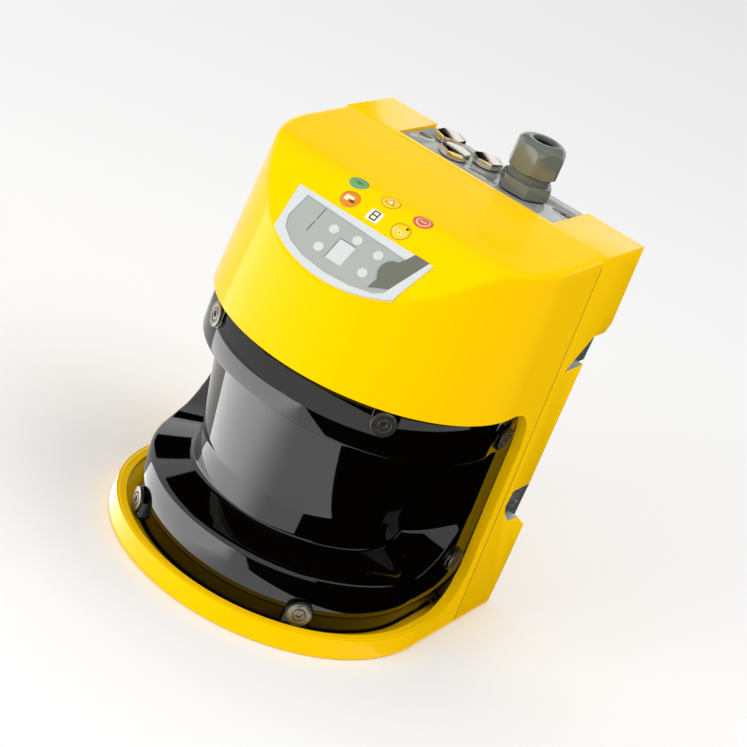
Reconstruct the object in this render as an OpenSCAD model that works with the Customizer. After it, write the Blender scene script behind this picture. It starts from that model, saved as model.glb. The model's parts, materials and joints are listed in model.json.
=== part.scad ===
// Safety laser scanner with a rotating mirror.
// The origin is where the mirror's axis meets the base plane: +Z is up, -Y is the front
// and +Y is the mounting side.

/* [Housing] */
// Width across the base
body_w = 155; // [149:0.5:165]
// Width across the flat top
top_w = 139; // [134:0.5:146]
// Height from the base to the flat top
body_h = 185; // [180:1:200]
// Distance from the mirror axis to the rear mounting face
rear_y = 82.5; // [78:0.5:100]
// Distance from the mirror axis to the joint between the two castings
seam_y = 42; // [40:0.5:44]
// Reach of the foot in front of the mirror axis
foot_front = 74.5; // [73:0.5:77]
// Reach of the hood in front of the mirror axis, at its rim
hood_front = 64; // [62:0.5:66]
// Wall of the castings
wall = 4.7; // [4:0.1:5.5]
// Thickness of the floor
floor_t = 4; // [3:0.25:5]
// Height of the hood's rim
rim_z = 114.5; // [112:0.5:118]
// Height of the foot ring
foot_h = 9.5; // [8:0.5:12]
// Front edge of the side columns
column_y = 35; // [33:0.5:36]
// Radius of the corners of the side openings
corner_r = 20; // [12:0.5:22]
// Slope of the display face, from the horizontal
face_angle = 43.7; // [38:0.1:48]
// Drop from the flat top to the top of the hood's front wall, where the display face starts
face_drop = 31.5; // [29:0.5:36]
// Radius of the bend between the top and the display face
bend_r = 26; // [15:1:32]

/* [Mounting] */
// Width of the threaded holes' core, for M8
mount_d = 6.8; // [6:0.1:7]
// Depth of the threaded holes
mount_depth = 10; // [9:0.5:12]
// Distance of the lower threaded holes behind the mirror axis
mount_low_y = 62.5; // [60:0.5:64]
// Distance of the upper threaded holes behind the mirror axis
mount_high_y = 66; // [62:0.5:67]
// Height of the lower threaded holes
mount_low_z = 57.5; // [56:0.5:60]
// Height of the upper threaded holes
mount_high_z = 133.7; // [131:0.1:136]
// Depth of the milled pockets round the threaded holes
pocket_d = 2.2; // [1:0.1:3]
// Depth of the relief between the two mounting pads
pad_relief = 19; // [16:0.5:20]
// Height of the lower pad
pad_low_h = 40; // [36:1:43]
// Height of the upper pad
pad_high_h = 38; // [34:1:40]

/* [Optics cover] */
// Wall of the cover
cover_t = 2.6; // [2:0.1:3]
// Radius of the upper band
band_r = 69.8; // [68.5:0.1:70]
// Height of the upper band's lower edge
band_z = 92.5; // [90:0.5:95]
// Radius of the window at its top
window_top_r = 58; // [56:0.5:60]
// Radius of the window at its waist
waist_r = 50; // [48:0.5:52]
// Height of the waist
waist_z = 51.5; // [49:0.5:54]
// Height of the inner ridge
ridge_in_z = 38.6; // [37:0.1:40]
// Height of the outer ridge
ridge_out_z = 32; // [30:0.5:34]
// Radius of the outer ridge
ridge_out_r = 70.3; // [69:0.1:70.5]
// Radius of the lower band at the foot
skirt_r = 66.6; // [65:0.1:67]
// Where the side flanges start behind the mirror axis
flange_y = 20; // [18:0.5:22]

/* [Cover screws] */
// Diameter of the washer heads
screw_head_d = 11; // [10:0.2:12]
// Thread diameter of the cover screws
screw_d = 4; // [3:0.5:4]
// Angle of the upper front screws on each side of the centre
screw_high_angle = 38.6; // [34:0.1:42]
// Angle of the lower front screws on each side of the centre
screw_low_angle = 39.9; // [34:0.1:42]
// Height of the upper front screws
screw_high_z = 108; // [106:0.5:108.5]
// Height of the lower front screws
screw_low_z = 14.2; // [13.5:0.1:17]

/* [Display] */
// Width of the display at its top edge
display_w = 68.4; // [60:0.2:70]
// Width of the display at its lower corners
display_low_w = 60.4; // [54:0.2:62]
// Land between the display and the hood's front wall
display_land = 0.6; // [0.4:0.1:2]
// Share of the display's length that its straight sides take
display_side_share = 0.73; // [0.65:0.01:0.76]
// Diameter of the status lamps
lamp_d = 4.6; // [3:0.2:6]
// Spacing of the status lamps
lamp_pitch = 11; // [9:0.25:11.5]

/* [Plug plate] */
// Width of the plug plate's recess
recess_w = 83.4; // [82.6:0.2:88]
// Front edge of the recess, behind the mirror axis
recess_y = 47; // [46.5:0.5:49]
// Depth of the plug plate's top below the flat top
recess_d = 1.2; // [0.2:0.1:2]
// Thickness of the plug plate
plate_t = 2.4; // [2:0.1:3]
// Width across flats of the blanking plugs
plug_af = 12.4; // [10:0.2:12.8]
// Width across flats of the cable gland
gland_af = 21.6; // [19:0.1:22]
// Bore of the cable gland
gland_bore_d = 9; // [6:0.5:10]
// Place of the gland, to the right of the mirror axis
gland_x = 13.8; // [13:0.2:14.6]
// Place of the gland, behind the mirror axis
gland_y = 65.2; // [63:0.2:67]

/* [Scan head] */
// Height of the scan plane
scan_z = 70; // [68:0.5:72]
// Diameter of the rotor's drum
rotor_d = 40; // [36:1:42]
// Width of the motor shaft
shaft_d = 4; // [3:0.25:5]
// Diameter of the receiving lens
lens_d = 46; // [42:1:48]
// Running gap between the rotor and what stands still
running_gap = 0.6; // [0.4:0.1:1]

/* [Hidden] */
$fn = 64;
// Fit between parts that seat in each other
fit_gap = 0.15;
// Overshoot of a cutting solid
cut = 1;
// How far a round front stands proud of the flat sides it meets, so that they cross
lap = 0.02;
top_slope = 1.2;
pad_corner_r = (body_w - top_w) / 2;
plate_gasket_t = 0.8;

// Half the width of the castings at height z: the side walls have draft
function half_w(z) = body_w / 2 - (body_w - top_w) / 2 * z / body_h;

face_z = body_h - face_drop;
hood_yc = half_w(rim_z) - hood_front;
foot_yc = half_w(0) - foot_front;
// Front of the hood where the display face meets its wall
face_y = hood_yc - half_w(face_z);
face_corner = corner_of_top();
face_top_len = bend_r * tan((face_angle - top_slope) / 2);
plate_top_z = body_h - recess_d;
plate_z = plate_top_z - plate_t;
recess_z = plate_z - plate_gasket_t;
shelf_z = rim_z + 4.5;
shelf_t = 3;
chassis_y = column_y + 3.5;
chassis_t = 2.6;

cover_top_z = rim_z + 3.6;
seal_t = 1.2;
cover_bottom_z = floor_t + seal_t;
cover_gap = 0.2;
seam_seal_t = 1.2;
seam_seal_inset = 1.4;
seam_seal_w = 1.6;
housing_screw_z = [9, 162];
housing_screw_x = [54, half_w(housing_screw_z[1]) - wall - 4.5];
housing_screw_d = 5;
bezel_w = 3;
bezel_seat = 1.4;
display_gap = 2.8;
// Length of the display down the slope, and of its straight sides
display_l = (face_corner[1] - face_z) / sin(face_angle) - face_top_len - display_gap - display_land;
display_side_l = display_side_share * display_l;
// Middle of the recess and of the plug in it, to the left of the mirror axis
recess_x = -2.1;
plug_w = 65.8;
plug_y0 = 52.2;
plug_y1 = 76.4;
plug_wall = 1.8;
plate_screws_at = [[-39.6, 64.5], [35.2, 68.5]];

// Where the lines of the flat top and of the display face would meet, in Y and Z
function corner_of_top() =
    let (a = tan(face_angle), b = tan(top_slope),
         y = (body_h - seam_y * b - face_z + face_y * a) / (a - b))
    [y, face_z + (y - face_y) * a];

// Side view of the hood in Y and Z, moved inwards by inset
function hood_profile(inset, y_rear) =
    let (p = face_corner, r = bend_r - inset, half_turn = (face_angle - top_slope) / 2,
         mid = (face_angle + top_slope) / 2, reach = bend_r / cos(half_turn),
         c = [p[0] + reach * sin(mid), p[1] - reach * cos(mid)],
         y_front = face_y - 30)
    concat(
        [[y_rear, rim_z - cut],
         [y_rear, body_h - inset / cos(top_slope) + (y_rear - seam_y) * tan(top_slope)]],
        [for (i = [0:8]) let (t = top_slope + (face_angle - top_slope) * i / 8)
            [c[0] - r * sin(t), c[1] + r * cos(t)]],
        [[y_front, face_z - inset / cos(face_angle) + (y_front - face_y) * tan(face_angle)],
         [y_front, rim_z - cut]]);

// Extrudes a side view, drawn in Y and Z, across the whole width
module across(width = body_w + 20) {
    rotate([90, 0, 90]) linear_extrude(width, center = true) children();
}

// The drafted flat sides between y0 and y1, moved inwards by inset
module flat_sides(inset, z0, z1, y0, y1) {
    translate([0, y1, 0]) rotate([90, 0, 0]) linear_extrude(y1 - y0)
        polygon([[-half_w(z0) + inset, z0], [half_w(z0) - inset, z0],
                 [half_w(z1) - inset, z1], [-half_w(z1) + inset, z1]]);
}

// The drafted round front, centred at yc and moved inwards by inset
module draft_cone(yc, inset, z0, z1) {
    translate([0, yc, z0])
        cylinder(h = z1 - z0, r1 = half_w(z0) - inset + lap, r2 = half_w(z1) - inset + lap, $fn = 128);
}

// U-shaped solid with draft: the round front and the flat sides as far as y_rear
module drafted_u(yc, inset, z0, z1, y_rear) {
    draft_cone(yc, inset, z0, z1);
    flat_sides(inset, z0, z1, yc, y_rear);
}

// Rounded plate in the XY plane, from exact squares and circles
module rounded_rect(x0, y0, x1, y1, r) {
    translate([x0 + r, y0]) square([x1 - x0 - 2 * r, y1 - y0]);
    translate([x0, y0 + r]) square([x1 - x0, y1 - y0 - 2 * r]);
    for (x = [x0 + r, x1 - r], y = [y0 + r, y1 - r]) translate([x, y]) circle(r, $fn = 32);
}

module hexagon(af) {
    circle(af / 2 / cos(30), $fn = 6);
}

// Side opening in Y and Z: open to the front, with round corners at the column
module side_opening() {
    y0 = -body_w;
    translate([y0, foot_h]) square([column_y - corner_r - y0, rim_z - foot_h]);
    translate([y0, foot_h + corner_r]) square([column_y - y0, rim_z - foot_h - 2 * corner_r]);
    for (z = [foot_h + corner_r, rim_z - corner_r])
        translate([column_y - corner_r, z]) circle(corner_r, $fn = 96);
}

// ---------------------------------------------------------------- castings

// Cone in front, flat sides behind, for the hood and for the foot, moved inwards by inset
module front_solid(inset, z0) {
    flat_sides(inset, z0, body_h + inset, hood_yc, seam_y + inset);
    draft_cone(hood_yc, inset, rim_z - corner_r, body_h + inset);
    if (inset == 0) {
        flat_sides(lap / 2, 0, foot_h + corner_r, foot_yc, hood_yc + cut);
        draft_cone(foot_yc, 0, 0, foot_h + corner_r);
    }
}

// Side view of the front casting, moved inwards by inset, from height z0 up
module front_side_view(inset, z0) {
    polygon(concat([[seam_y + inset, z0]], hood_profile(inset, seam_y + inset), [[face_y - 30, z0]]));
}

module front_shell() {
    ring_z = foot_h - 3.6;
    ring_r = skirt_r + 0.6;
    ring_top = ring_r + (half_w(foot_h) - 0.8 - ring_r) * (foot_h + cut - ring_z) / (foot_h - ring_z);
    ring_inside = half_w(foot_h) - wall - 0.5;
    difference() {
        intersection() {
            front_solid(0, 0);
            across() difference() {
                front_side_view(0, 0);
                side_opening();
            }
        }
        intersection() {
            front_solid(wall, foot_h - cut);
            across() front_side_view(wall, foot_h - 2 * cut);
        }
        // Rebate that takes the cover's top edge
        translate([0, 0, rim_z - cut]) linear_extrude(cut + cover_top_z + seal_t - rim_z)
            cover_plan(band_r + fit_gap, hood_yc, column_y + 2.6, 0);
        // Groove that takes the cover's foot
        translate([0, 0, floor_t]) linear_extrude(foot_h) cover_plan(skirt_r + 0.7, foot_yc, seam_y + cut, 0);
        // Inner slope of the foot ring: over its whole width in front, inside the walls behind
        intersection() {
            union() {
                translate([0, foot_yc, ring_z])
                    cylinder(h = foot_h + cut - ring_z, r1 = ring_r, r2 = ring_top, $fn = 128);
                translate([0, seam_y - wall, 0]) rotate([90, 0, 0]) linear_extrude(seam_y - wall - foot_yc)
                    polygon([[-ring_r, ring_z], [ring_r, ring_z],
                             [ring_top, foot_h + cut], [-ring_top, foot_h + cut]]);
            }
            linear_extrude(foot_h + 2 * cut) {
                translate([-body_w, -body_w]) square([2 * body_w, body_w + column_y - corner_r - 1]);
                translate([-ring_inside, 0]) square([2 * ring_inside, seam_y]);
            }
        }
    }
}

// Places children at each of the four long screws that join the castings
module at_housing_screws() {
    for (s = [-1, 1], i = [0, 1]) translate([s * housing_screw_x[i], 0, housing_screw_z[i]]) children();
}

module front_housing() {
    color("gold") difference() {
        union() {
            front_shell();
            floor_lugs();
            intersection() {
                cover_lugs();
                drafted_u(hood_yc, 1, 0, body_h, seam_y);
            }
            // Blind bosses for the long screws
            intersection() {
                at_housing_screws() translate([0, seam_y, 0]) rotate([90, 0, 0]) cylinder(h = 11, r = 6);
                drafted_u(hood_yc, 1, 1, body_h, seam_y);
            }
        }
        at_motor_screws(1) cylinder(h = floor_t, r = 1.6, $fn = 24);
        at_housing_screws() translate([0, seam_y + cut, 0]) rotate([90, 0, 0])
            cylinder(h = 9, r = housing_screw_d / 2);
        // Display opening and the seat of its bezel
        on_face() {
            translate([0, 0, -bezel_seat]) linear_extrude(10) display_outline(-0.1);
            translate([0, 0, -wall - 3]) linear_extrude(wall + 4) display_outline(bezel_w + 1.2);
        }
        // Threaded holes for the cover screws
        at_cover_screws() rotate([0, 90, 0]) translate([0, 0, -9.2])
            cylinder(h = 10, r = screw_d / 2, $fn = 24);
    }
}

module rear_side_view(inset) {
    y = rear_y - inset;
    yr = rear_y - pad_relief - inset;
    polygon([[seam_y - (inset > 0 ? cut : 0), inset > 0 ? floor_t : 0], [y, inset > 0 ? floor_t : 0],
             [y, pad_low_h - inset / 2], [yr, pad_low_h + 12 - inset / 2],
             [yr + 5.5, body_h - pad_high_h - 4 + inset], [y - 4, body_h - pad_high_h - 4 + inset],
             [y, body_h - pad_high_h + inset], [y, inset > 0 ? recess_z - 2.6 : body_h],
             [seam_y - (inset > 0 ? cut : 0), inset > 0 ? recess_z - 2.6 : body_h]]);
}

module rear_block() {
    intersection() {
        flat_sides(0, 0, body_h, seam_y, rear_y);
        across() rear_side_view(0);
        linear_extrude(body_h) {
            translate([-body_w / 2, seam_y]) square([body_w, rear_y - pad_corner_r - seam_y]);
            translate([-top_w / 2, seam_y]) square([top_w, rear_y - seam_y]);
            for (s = [-1, 1]) translate([s * top_w / 2, rear_y - pad_corner_r]) circle(pad_corner_r);
        }
    }
}

// Milled pockets round the threaded holes, drawn in Y and Z from the hole
module low_pocket() {
    polygon([[-13.5, 10.5], [15, 10.5], [15, -7.8], [-5, -7.8], [-13.4, -0.9], [-15.5, 3]]);
}

module high_pocket() {
    top = body_h - pad_high_h - 4 - mount_high_z;
    polygon([[-16.5, -4.7], [15, -4.7], [15, top], [0.8 + (top - 8.8) * 1.3, top], [0.8, 8.8]]);
}

// Places children at the lower, at the upper or at all four threaded holes: +Z points into the wall
module at_threads(low = true, high = true) {
    for (s = [-1, 1]) {
        if (low) thread_frame(s, mount_low_y, mount_low_z) children();
        if (high) thread_frame(s, mount_high_y, mount_high_z) children();
    }
}

module thread_frame(s, y, z) {
    translate([s * (half_w(z) - pocket_d), y, z]) rotate([0, -s * 90, 0]) children();
}

// Cuts a pocket, drawn in Y and Z, from its floor outwards
module pocket_cut(y, z) {
    for (s = [-1, 1]) translate([s * (half_w(z) - pocket_d + 10), y, z]) across(20) children();
}

// Lug behind the wall of the relief that carries a threaded hole
module thread_lug(s, y, z, z0, z1) {
    x = half_w(z) - pocket_d;
    reach = mount_d / 2 + 4.1;
    translate([s > 0 ? x - mount_depth - 4 : -x, rear_y - pad_relief - wall, z0])
        cube([mount_depth + 4, y + reach - rear_y + pad_relief + wall, z1 - z0]);
}

module rear_housing() {
    color("goldenrod") difference() {
        union() {
            difference() {
                rear_block();
                intersection() {
                    flat_sides(wall, -cut, body_h, seam_y - cut, rear_y);
                    across() rear_side_view(wall);
                }
            }
            // Bosses round the long screws and the plate's screws
            intersection() {
                union() {
                    at_housing_screws() translate([0, seam_y, 0]) rotate([-90, 0, 0])
                        cylinder(h = rear_y - seam_y, r = 6);
                    for (p = plate_screws_at) translate([p[0], p[1], recess_z - 9]) cylinder(h = 9, r = 2.9);
                    at_threads() cylinder(h = mount_depth + 4, r = mount_d / 2 + 4.1);
                }
                rear_block();
            }
            for (s = [-1, 1]) {
                thread_lug(s, mount_low_y, mount_low_z, pad_low_h + 6, mount_low_z + 10.5);
                thread_lug(s, mount_high_y, mount_high_z, mount_high_z - 4.7, body_h - pad_high_h - 3);
            }
        }
        pocket_cut(mount_low_y, mount_low_z) low_pocket();
        pocket_cut(mount_high_y, mount_high_z) high_pocket();
        translate([0, seam_y + seam_seal_t, 0]) rotate([90, 0, 0])
            linear_extrude(seam_seal_t + cut) seam_frame(seam_seal_inset, seam_seal_w);
        at_threads() translate([0, 0, -cut]) cylinder(h = mount_depth + cut, r = mount_d / 2);
        at_housing_screws() {
            translate([0, seam_y - cut, 0]) rotate([-90, 0, 0])
                cylinder(h = rear_y, r = housing_screw_d / 2 + 0.4);
            translate([0, rear_y - 7, 0]) rotate([-90, 0, 0]) cylinder(h = 20, r = housing_screw_d / 2 + 2.6);
        }
        // Recess for the plug plate and the opening below it
        translate([0, 0, recess_z]) linear_extrude(20)
            translate([recess_x - recess_w / 2, recess_y]) square([recess_w, rear_y - recess_y + cut]);
        translate([0, 0, recess_z - 10]) linear_extrude(20) plug_outline(0.4);
        for (p = plate_screws_at) translate([p[0], p[1], recess_z - 8.4]) cylinder(h = 20, r = 1.6, $fn = 24);
    }
}

// Frame in the plane of the joint, moved inwards by inset and w wide
module seam_frame(inset, w) {
    difference() {
        polygon([for (p = [[-1, inset], [1, inset], [1, body_h - inset], [-1, body_h - inset]])
            [p[0] * (half_w(p[1]) - inset), p[1]]]);
        inner = inset + w;
        polygon([for (p = [[-1, inner], [1, inner], [1, body_h - inner], [-1, body_h - inner]])
            [p[0] * (half_w(p[1]) - inner), p[1]]]);
    }
}

// Rubber cord in a groove of the rear casting's edge
module seam_seal() {
    color("dimgray") translate([0, seam_y + seam_seal_t, 0]) rotate([90, 0, 0])
        linear_extrude(seam_seal_t) seam_frame(seam_seal_inset, seam_seal_w);
}

module housing_screws() {
    color("silver") at_housing_screws() {
        translate([0, rear_y - 7 + 5, 0]) rotate([90, 0, 0]) difference() {
            cylinder(h = 5, r = housing_screw_d / 2 + 2);
            translate([0, 0, -cut]) linear_extrude(cut + 2.6) hexagon(4);
        }
        translate([0, rear_y - 7, 0]) rotate([90, 0, 0])
            cylinder(h = rear_y - seam_y + 0.6, r = housing_screw_d / 2 - 0.02);
    }
}

// ---------------------------------------------------------------- optics cover

cover_rear_y = chassis_y - 0.3;
window_end_angle = 97;
arc_steps = 16;
leg_steps = 6;
side_steps = arc_steps + leg_steps + 1;
rise_start_y = -12;
ridge_rise = 30;

// Outer radius of the cover, and its centre, at height z
function cover_r(z) = z > ridge_out_z
    ? band_r + (ridge_out_r - band_r) * (cover_top_z - z) / (cover_top_z - ridge_out_z)
    : ridge_out_r + (skirt_r - ridge_out_r) * (ridge_out_z - z) / (ridge_out_z - cover_bottom_z);
function cover_yc(z) = foot_yc + (hood_yc - foot_yc) * min(1, z / band_z);
// Height under which the side flanges run in towards the foot
flange_z = ridge_out_z - 4;
// Half width of the side flanges: they lie inside the columns
function flange_x(z) =
    let (x = half_w(z) - wall - cover_gap)
    z > flange_z ? x : skirt_r + (x - skirt_r) * (z - cover_bottom_z) / (flange_z - cover_bottom_z);
// Radius of the window, which tapers down to the waist
function window_r(z) = z < waist_z
    ? waist_r
    : waist_r + (window_top_r - waist_r) * (z - waist_z) / (band_z - waist_z);

// Point of the outer U at station i, moved inwards by inset
function outer_xy(i, z, inset) =
    let (r = cover_r(z) - inset, yc = cover_yc(z), a = 90 * i / arc_steps, t = (i - arc_steps) / leg_steps)
    i <= arc_steps ? [r * sin(a), yc - r * cos(a)]
    : i <= arc_steps + leg_steps ? [r + (flange_x(z) - inset - r) * t, yc + (flange_y - yc) * t]
    : [flange_x(z) - inset, cover_rear_y];

// Point of the window at station i: a cone, then a wall that runs out to the flange
function window_xy(i, z, inset) =
    let (r = window_r(z) - inset, a = window_end_angle * i / arc_steps, t = (i - arc_steps) / leg_steps,
         e = [r * sin(window_end_angle), -r * cos(window_end_angle)], f = [flange_x(z) - inset, flange_y])
    i <= arc_steps ? [r * sin(a), -r * cos(a)]
    : i <= arc_steps + leg_steps ? e + (f - e) * t
    : [flange_x(z) - inset, cover_rear_y];

// Rise of the ridges towards the flanges: a quarter of an ellipse
function rise(i) =
    let (y = outer_xy(i, ridge_out_z, 0)[1],
         t = max(0, min(1, (y - rise_start_y) / (flange_y - rise_start_y))))
    ridge_rise * (1 - sqrt(1 - t * t));

// One point of the section at station i, k of the way from the outer U to the window
function section_point(i, side, k, z, inset) =
    let (o = outer_xy(i, z, inset), w = window_xy(i, z, inset), p = o + (w - o) * k)
    [side * p[0], p[1], z];

// Closed section of the cover at station i: down the outside, then up the inside
function section(i, side) =
    let (lift = rise(i), t = cover_t)
    [for (q = [[0, cover_top_z, 0], [0, band_z + 1, 0], [0.04, band_z, 0], [1, band_z - 0.4, 0],
               [1, waist_z + 0.75 * lift, 0], [1, ridge_in_z + 0.95 * lift, 0],
               [0.04, ridge_out_z + 0.5 + lift, 0], [0, ridge_out_z - 0.5 + lift, 0], [0, flange_z, 0],
               [0, cover_bottom_z, 0], [0, cover_bottom_z, t], [0, flange_z - 0.5, t],
               [0, ridge_out_z - t + lift, t], [1, ridge_in_z - t + 0.95 * lift, t],
               [1, waist_z + 0.75 * lift, t], [1, band_z + t - 0.4, t], [0, band_z + t, t],
               [0, cover_top_z, t]])
        section_point(i, side, q[0], q[1], q[2])];

module cover_shell() {
    stations = concat([for (i = [side_steps:-1:1]) section(i, -1)], [for (i = [0:side_steps]) section(i, 1)]);
    n = len(stations[0]);
    m = len(stations);
    polyhedron(
        points = [for (s = stations, p = s) p],
        faces = concat(
            [[for (j = [0:n - 1]) j]],
            [[for (j = [n - 1:-1:0]) (m - 1) * n + j]],
            [for (i = [0:m - 2], j = [0:n - 1])
                let (a = i * n + j, b = i * n + (j + 1) % n) [b + n, b, a]],
            [for (i = [0:m - 2], j = [0:n - 1])
                let (a = i * n + j, b = i * n + (j + 1) % n) [a + n, b + n, a]]));
}

// Plan of the cover's outside at one radius: a U, w wide where w is above 0
module cover_plan(r, yc, y_rear, w) {
    difference() {
        union() {
            intersection() {
                translate([0, yc]) circle(r, $fn = 128);
                translate([-r - cut, yc - r - cut]) square([2 * (r + cut), r + 2 * cut]);
            }
            translate([-r, yc]) square([2 * r, y_rear - yc]);
        }
        if (w > 0) {
            translate([0, yc]) circle(r - w, $fn = 128);
            translate([w - r, yc]) square([2 * (r - w), y_rear - yc + cut]);
        }
    }
}

rear_screw_high = [23.4, 99];
rear_screw_low = [23.2, 37];
boss_r = screw_head_d / 2 + 0.4;

// Places children at each cover screw, with +X pointing out of the cover. $boss is how far
// the screw's boss stands out of the cover's wall, and $reach how far the boss runs on.
module at_cover_screws(high = true, low = true) {
    for (s = [-1, 1]) {
        if (high) {
            screw_frame(screw_high_z, s * screw_high_angle, $boss = 0.8, $reach = 6) children();
            side_screw_frame(s, rear_screw_high, $boss = 0.8, $reach = 9) children();
        }
        if (low) {
            screw_frame(screw_low_z, s * screw_low_angle, $boss = 2.5, $reach = 6) children();
            side_screw_frame(s, rear_screw_low, $boss = 0.8, $reach = 2) children();
        }
    }
}

module side_screw_frame(s, at) {
    translate([s * flange_x(at[1]), at[0], at[1]]) rotate([0, 0, 90 - s * 90]) children();
}

module screw_frame(z, angle, back = 0) {
    r = cover_r(z) - back;
    translate([r * sin(angle), cover_yc(z) - r * cos(angle), z]) rotate([0, 0, angle - 90]) children();
}

// Round boss that runs on up or down the cover's wall with straight sides
module cover_boss(dir) {
    root = 1.4;
    rotate([0, 90, 0]) translate([0, 0, -root]) cylinder(h = root + $boss, r = boss_r, $fn = 48);
    translate([-root, -boss_r, dir > 0 ? 0 : -$reach]) cube([root + $boss, 2 * boss_r, $reach]);
}

module optics_cover() {
    color("#1c1b1a") difference() {
        union() {
            cover_shell();
            at_cover_screws(low = false) cover_boss(1);
            at_cover_screws(high = false) cover_boss(-1);
        }
        at_cover_screws() rotate([0, 90, 0]) translate([0, 0, -8])
            cylinder(h = 20, r = screw_d / 2 + 0.2, $fn = 24);
    }
}

// Lugs behind the cover that its screws go into: a short boss on an upright post
lug_back = cover_t + 8;
lug_post_r = 3.6;

module lug_boss() {
    rotate([0, 90, 0]) translate([0, 0, -lug_back]) cylinder(h = lug_back - cover_t - 0.8, r = 4.2);
}

module cover_lugs() {
    z0 = -lug_post_r;
    at_cover_screws(low = false) {
        lug_boss();
        translate([-lug_back, 0, z0]) cylinder(h = rim_z + 20 - rear_screw_high[1] - z0, r = lug_post_r);
        translate([-lug_back, -lug_post_r, rim_z + 12 - rear_screw_high[1]])
            cube([lug_back + 3, 2 * lug_post_r, 8]);
    }
}

module floor_lugs() {
    at_cover_screws(high = false) lug_boss();
    for (s = [-1, 1]) {
        screw_frame(screw_low_z, s * screw_low_angle, lug_back) translate([0, 0, 1 - screw_low_z])
            cylinder(h = screw_low_z + lug_post_r - 1, r = lug_post_r);
        translate([s * (flange_x(rear_screw_low[1]) - lug_back), rear_screw_low[0], 1])
            cylinder(h = rear_screw_low[1] + lug_post_r - 1, r = lug_post_r);
    }
}

module cover_seal_high() {
    color("black") translate([0, 0, cover_top_z]) linear_extrude(seal_t)
        cover_plan(band_r, hood_yc, column_y, cover_t);
}

module cover_seal_low() {
    color("black") translate([0, 0, floor_t]) linear_extrude(seal_t)
        cover_plan(skirt_r + 0.3, foot_yc, column_y, cover_t);
}

// Screws with a flat washer: the head lies in the washer, with a groove round it
module cover_screws() {
    washer_t = 1.2;
    head_r = 2.6;
    color("#55544f") at_cover_screws() rotate([0, 90, 0]) {
        difference() {
            translate([0, 0, $boss]) cylinder(h = washer_t, r = screw_head_d / 2);
            translate([0, 0, $boss + washer_t - 0.5]) difference() {
                cylinder(h = 1, r = head_r + 0.5, $fn = 32);
                translate([0, 0, -cut]) cylinder(h = 4, r = head_r, $fn = 32);
            }
            translate([0, 0, $boss + washer_t - 0.9]) linear_extrude(2) hexagon(2.5);
        }
        translate([0, 0, -cover_t - 6]) cylinder(h = $boss + cover_t + 6.1, r = screw_d / 2 - 0.02, $fn = 24);
    }
}

// ---------------------------------------------------------------- display

// Places children on the display face: X across, Y up the slope, Z out of the face
module on_face() {
    d = face_top_len + display_gap;
    translate([0, face_corner[0] - d * cos(face_angle), face_corner[1] - d * sin(face_angle)])
        rotate([face_angle, 0, 0]) children();
}

// Outline of the display, moved inwards: straight at the top, an arc at the bottom
module display_outline(inset) {
    w = display_w / 2 - inset;
    v = display_low_w / 2 - inset;
    side = display_side_l - 0.3 * inset;
    sag = display_l - inset - side;
    r = (v * v + sag * sag) / (2 * sag);
    a = asin(v / r);
    polygon(concat([[-v, -side], [-w, -inset], [w, -inset]],
        [for (i = [0:19]) let (t = a - 2 * a * i / 20) [r * sin(t), r - sag - side - r * cos(t)]]));
}

panel_z = -3.6;

// Lamp centres: three in the upper row, two in the lower row beside the digit
lamp_places = concat([for (i = [-1:1]) [i * lamp_pitch, -8.6]],
                     [for (i = [-1, 1]) [i * lamp_pitch, -18.6]]);

module display_bezel() {
    color("whitesmoke") on_face() {
        translate([0, 0, -bezel_seat]) linear_extrude(bezel_seat + 0.5) difference() {
            display_outline(0);
            display_outline(bezel_w);
        }
    }
}

module display_window() {
    color([0.85, 0.9, 0.9, 0.5]) on_face() translate([0, 0, -bezel_seat]) linear_extrude(1.3)
        display_outline(bezel_w + 0.05);
}

module display_panel() {
    color("lightgray") on_face() difference() {
        translate([0, 0, panel_z]) linear_extrude(1.2) display_outline(bezel_w + 1.3);
        for (p = lamp_places) translate([p[0], p[1], panel_z - cut])
            cylinder(h = 4, r = lamp_d / 2 + 0.1, $fn = 32);
        translate([-4.1, -22.1, panel_z - cut]) cube([8.2, 10.2, 4]);
    }
}

module status_lamps() {
    color("white") on_face() for (p = lamp_places) translate([p[0], p[1], -wall]) {
        cylinder(h = wall + panel_z + 1.2, r = lamp_d / 2, $fn = 32);
        translate([0, 0, wall + panel_z + 1.2]) intersection() {
            translate([0, 0, -1.8]) sphere(lamp_d / 2 + 0.2, $fn = 32);
            cylinder(h = 3, r = lamp_d / 2, $fn = 32);
        }
    }
}

module digit_display() {
    color("#d8dcd8") on_face() translate([-4, -22, -wall]) cube([8, 10, wall + panel_z + 1.6]);
}

module display_board() {
    color("darkgreen") on_face() translate([0, 0, -wall - 1.6]) {
        translate([-26, -20.8, 0]) cube([52, 22.6, 1.6]);
        translate([-33, -10, 0]) cube([66, 11.8, 1.6]);
    }
}

// ---------------------------------------------------------------- plug plate

// Place and turn of each blanking plug
plug_places = [[-30.5, 71.8, 31], [-20.1, 58.4, 29], [-8.9, 70.2, 12]];
plug_hole_r = 2.6;
gland_thread_r = 6.6;
plate_screw_r = 2.3;

// Plan of the wide plug under the plate, made larger by grow
module plug_outline(grow) {
    x = plug_w / 2 + grow;
    rounded_rect(recess_x - x, plug_y0 - grow, recess_x + x, plug_y1 + grow, 2);
}

module at_plate_screws() {
    for (p = plate_screws_at) translate([p[0], p[1], 0]) children();
}

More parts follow.
